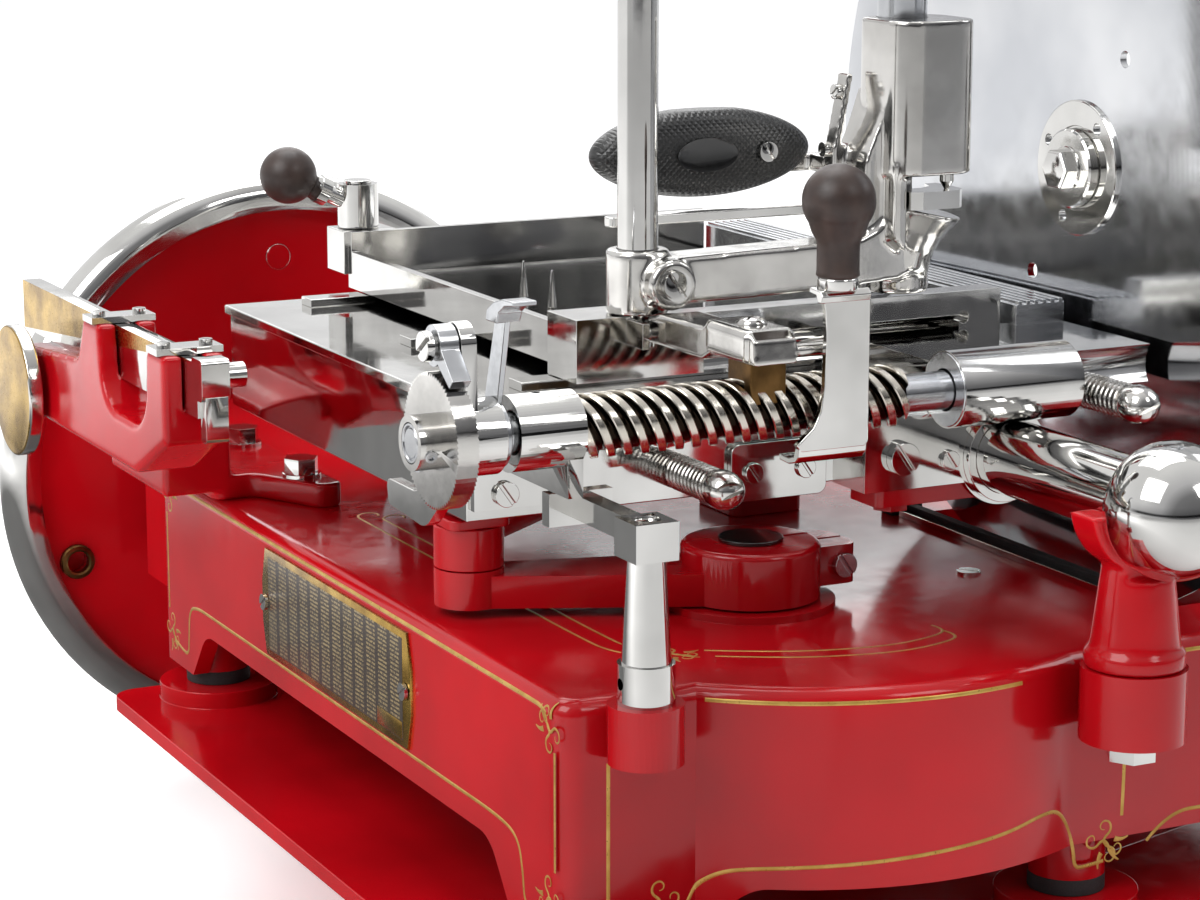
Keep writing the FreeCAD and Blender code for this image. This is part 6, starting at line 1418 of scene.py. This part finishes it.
@dataclass
class Studio:
    """The pale floor, the soft lights and the camera."""

    camera_place: Point = (-0.672, -1.152, 0.529)
    camera_turn: Point = (77.96, 0.0, -26.55)
    lens_mm: float = 93.98
    reflected_shade_centre: Point = (-0.45, 0.55, 0.0)
    lit_place: Point = (0.0, 0.0, 0.25)
    floor_m: float = 30.0

    def build(self) -> None:
        """Builds the whole studio."""
        self.floor()
        self.sky()
        self.lights()
        self.camera()

    def floor(self) -> None:
        """A wide pale floor that glows a little towards the back; in glossy rays it is painted darker near
        the machine and towards the front, a painted shade in what the bright metal reflects.
        """
        mesh = bmesh.new()
        bmesh.ops.create_grid(mesh, x_segments=1, y_segments=1, size=self.floor_m)
        data = mesh_of(mesh, "floor")
        ground = put("floor", data)
        material, tree, shader = new_material("pale_paper")
        place = objectwise(tree)
        parts = xyz(tree, place)
        tone = tones(tree, noise(tree, place, 1250.0), linear("FAFAFA"), linear("F4F4F4"))
        # Painted shade: glossy rays see the floor darker near this point and towards the front, though
        # nothing stands there to shade it.
        reach = add_node(tree, "VectorMath", {"operation": "DISTANCE"}, {0: place, 1: self.reflected_shade_centre})
        bright = remap(tree, reach.outputs["Value"], 0.45, 1.1, 0.10, 1.0)
        nearer = remap(tree, parts["Y"], -0.5, 0.4, 0.72, 1.0)
        dim = add_node(tree, "Mix", {"data_type": "FLOAT"}, {
            0: add_node(tree, "LightPath").outputs["Is Glossy Ray"], 2: 1.0,
            3: maths(tree, "MULTIPLY", bright, nearer)}).outputs[0]
        shown = add_node(tree, "VectorMath", {"operation": "SCALE"}, {0: tone, "Scale": dim})
        # Painted glow: the floor gives off light, more towards the back, though it is no lamp.
        glow = maths(tree, "MULTIPLY", remap(tree, parts["Y"], -1.0, 0.1, 0.0, 0.3), dim)
        feed(tree, shader, {"Base Color": shown.outputs["Vector"], "Roughness": 0.9,
                            "Emission Color": linear("FFFFFF"), "Emission Strength": glow})
        data.materials.append(material)

    def sky(self) -> None:
        """A room for the bright metal to reflect: white above, grey round the sides, white for the camera."""
        world = bpy.data.worlds.new("room")
        bpy.context.scene.world = world
        world.use_nodes = True
        tree = world.node_tree
        tree.nodes.clear()
        parts = xyz(tree, add_node(tree, "TexCoord").outputs["Generated"])
        banded = self.ramp(tree, parts["Z"], (
            (0.0, "E4E4E5"), (0.03, "C8C8CA"), (0.045, "303032"), (0.085, "3A3A3C"), (0.115, "C8C8CA"),
            (0.30, "F4F4F5"), (1.0, "FFFFFF")))
        plain = self.ramp(tree, parts["Z"], ((0.0, "E8E8EA"), (0.2, "FAFAFB"), (1.0, "FFFFFF")))
        height = tones(tree, remap(tree, parts["Y"], 0.1, 0.5), banded, plain)
        front = self.ramp(tree, remap(tree, parts["Y"], -1.0, 1.0), (
            (0.0, "808082"), (0.10, "8E8E90"), (0.22, "D8D8DA"), (0.5, "FFFFFF"), (1.0, "FFFFFF")))
        shade = add_node(tree, "Mix", {"data_type": "RGBA", "blend_type": "MULTIPLY"}, {
            0: 1.0, 6: height, 7: front})
        room = add_node(tree, "Background", inputs={"Color": shade.outputs[2], "Strength": 0.92})
        page = add_node(tree, "Background", inputs={"Color": linear("FFFFFF"), "Strength": 1.0})
        both = add_node(tree, "MixShader", inputs={
            0: add_node(tree, "LightPath").outputs["Is Camera Ray"], 1: room.outputs["Background"],
            2: page.outputs["Background"]})
        add_node(tree, "OutputWorld", inputs={"Surface": both.outputs["Shader"]})

    @staticmethod
    def ramp(tree: Tree, value: Socket, stops: tuple[tuple[float, str], ...]) -> Socket:
        """Turns a value into a grey along a row of stops.

        Args:
            tree: The node tree.
            value: The value, from nought to one.
            stops: Positions and hex colours, from the lowest to the highest.

        Returns:
            The colour's socket.
        """
        made = add_node(tree, "ValToRGB", inputs={"Fac": value})
        row = made.color_ramp.elements
        row[0].position, row[0].color = stops[0][0], linear(stops[0][1])
        row[1].position, row[1].color = stops[-1][0], linear(stops[-1][1])
        for position, code in stops[1:-1]:
            row.new(position).color = linear(code)
        return made.outputs["Color"]

    def lights(self) -> None:
        """Four large soft boxes about the machine."""
        for name, place, size, power in (
                ("key", (-2.2, -0.6, 2.2), 1.8, 52.0), ("front", (0.9, -2.6, 2.4), 1.0, 16.0),
                ("top", (0.1, 0.9, 2.6), 1.8, 34.0), ("back", (0.8, 2.2, 1.6), 1.6, 14.0)):
            lamp = bpy.data.lights.new(name, "AREA")
            lamp.size = size
            lamp.energy = power
            box = put(name, lamp)
            box.location = place
            box.rotation_euler = (Vector(self.lit_place) - Vector(place)).to_track_quat("-Z", "Y").to_euler()

    def camera(self) -> None:
        """The camera, level with the machine's deck and a little above it."""
        lens = bpy.data.cameras.new("camera")
        lens.lens = self.lens_mm
        lens.sensor_width = 36.0
        eye = put("camera", lens)
        eye.location = self.camera_place
        eye.rotation_euler = tuple(math.radians(a) for a in self.camera_turn)
        bpy.context.scene.camera = eye
        bpy.context.scene.view_settings.view_transform = "Standard"


# Widths of soft edges in millimetres, and the nodes that get them.
EDGES_MM: dict[float, str] = {
    0.0: "flywheel_rim ratchet_wheel",
    0.2: "pawl end_clamp_lever",
    0.3: ("body_fasteners slot_trim handle_spindle crank_fittings carriage_fittings clamp_column index_knob "
          "carriage_pins"),
    0.4: "slide_rod base_pads flywheel_drive handle_grip roller",
    0.5: "stop shoe_plate screw_tube end_post press_plate",
    0.6: ("housing blade_guard slice_tray rod_assembly carriage left_bearing end_plate rocker_arm meat_table "
          "trigger_bar press_shaft"),
    0.8: "near_column rear_column flywheel sleeve",
    1.0: "index_bracket blade_head chain_cover index_bar",
    1.2: "base_plate",
    1.4: "crank_arm",
    1.5: "plinth",
}
SOFT_NODES = {node: width for width, nodes in EDGES_MM.items() for node in nodes.split()}
# Castings that get a new skin instead, and its fineness in millimetres.
SKINS: dict[str, float] = {"index_bracket": 1.1, "near_column": 0.9}
# Nodes whose finish isn't the usual one of their slot.
OTHER_SURFACES: dict[str, Surface] = {
    "clamp_arm": Surface.NICKEL, "index_knob": Surface.NICKEL, "ratchet_wheel": Surface.NICKEL,
    "lead_screw": Surface.THREAD, "blade": Surface.BLADE, "press_shaft": Surface.STEEL,
}
# Parts of nodes with a finish of their own.
PATCHES: dict[str, tuple[Patch, ...]] = {
    "crank_fittings": (Patch(Surface.EBONITE, (-93, -113, 233), (-64, -83, 250)),),
    "slot_trim": (Patch(Surface.RUBBER, (58.4, -180, 208), (64, 8, 216)),
                  Patch(Surface.RUBBER, (51, 5.9, 208), (69, 16, 217))),
    "end_clamp_lever": (Patch(Surface.BAKELITE, (-190, 170, 320), (-147.5, 210, 400)),),
    "index_knob": (Patch(Surface.BRASS, (-265, 268, 212), (-264, 326, 274)),),
    "index_bar": (Patch(Surface.BRASS, (-246, 240, 250), (-244, 340, 292)),),
}


def dress_frame() -> None:
    """Gives every frame node its finish, and soft edges where they show."""
    owner = {node: body for body, nodes in frame["record"]["behaviour"]["bodies"].items() for node in nodes}
    slots = {part["node"]: part["material_slot"] for part in frame["record"]["subparts"]}
    for node, made in frame["nodes"].items():
        surface = OTHER_SURFACES.get(node, FINISHES[slots[node]])
        made.data.materials.clear()
        made.data.materials.append(surface.value.material())
        if node in SOFT_NODES:
            Casting(node, owner[node], surface, SOFT_NODES[node], patches=PATCHES.get(node, ()),
                    skin_mm=SKINS.get(node, 0.0)).build()


def build_details() -> None:
    """Builds the pieces that the frame only holds as plain blanks."""
    GoldLines().build()
    IndexPlate().build()
    ClampGrip().build()
    GibSpring("low_gib_spring", (-103.0, -84.0, 262.0)).build()
    GibSpring("high_gib_spring", (42.0, -151.0, 294.5)).build()
    BallKnob((-87.6, -177.0, 352.0), UP).build("lever_ball", "nut_lever", "nut_lever_knob")
    NutClasp().build()
    ReleaseStrip().build()
    ClampSmallParts().build()
    SmallTrims().build()
    ClampCasting().build()
    Knife().build()
    FeedScrew().build()


def main() -> None:
    """Builds and dresses the machine, then the studio."""
    logging.basicConfig(level=logging.INFO, format="%(message)s")
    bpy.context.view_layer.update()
    dress_frame()
    build_details()
    Studio().build()


if __name__ == "__main__":
    main()
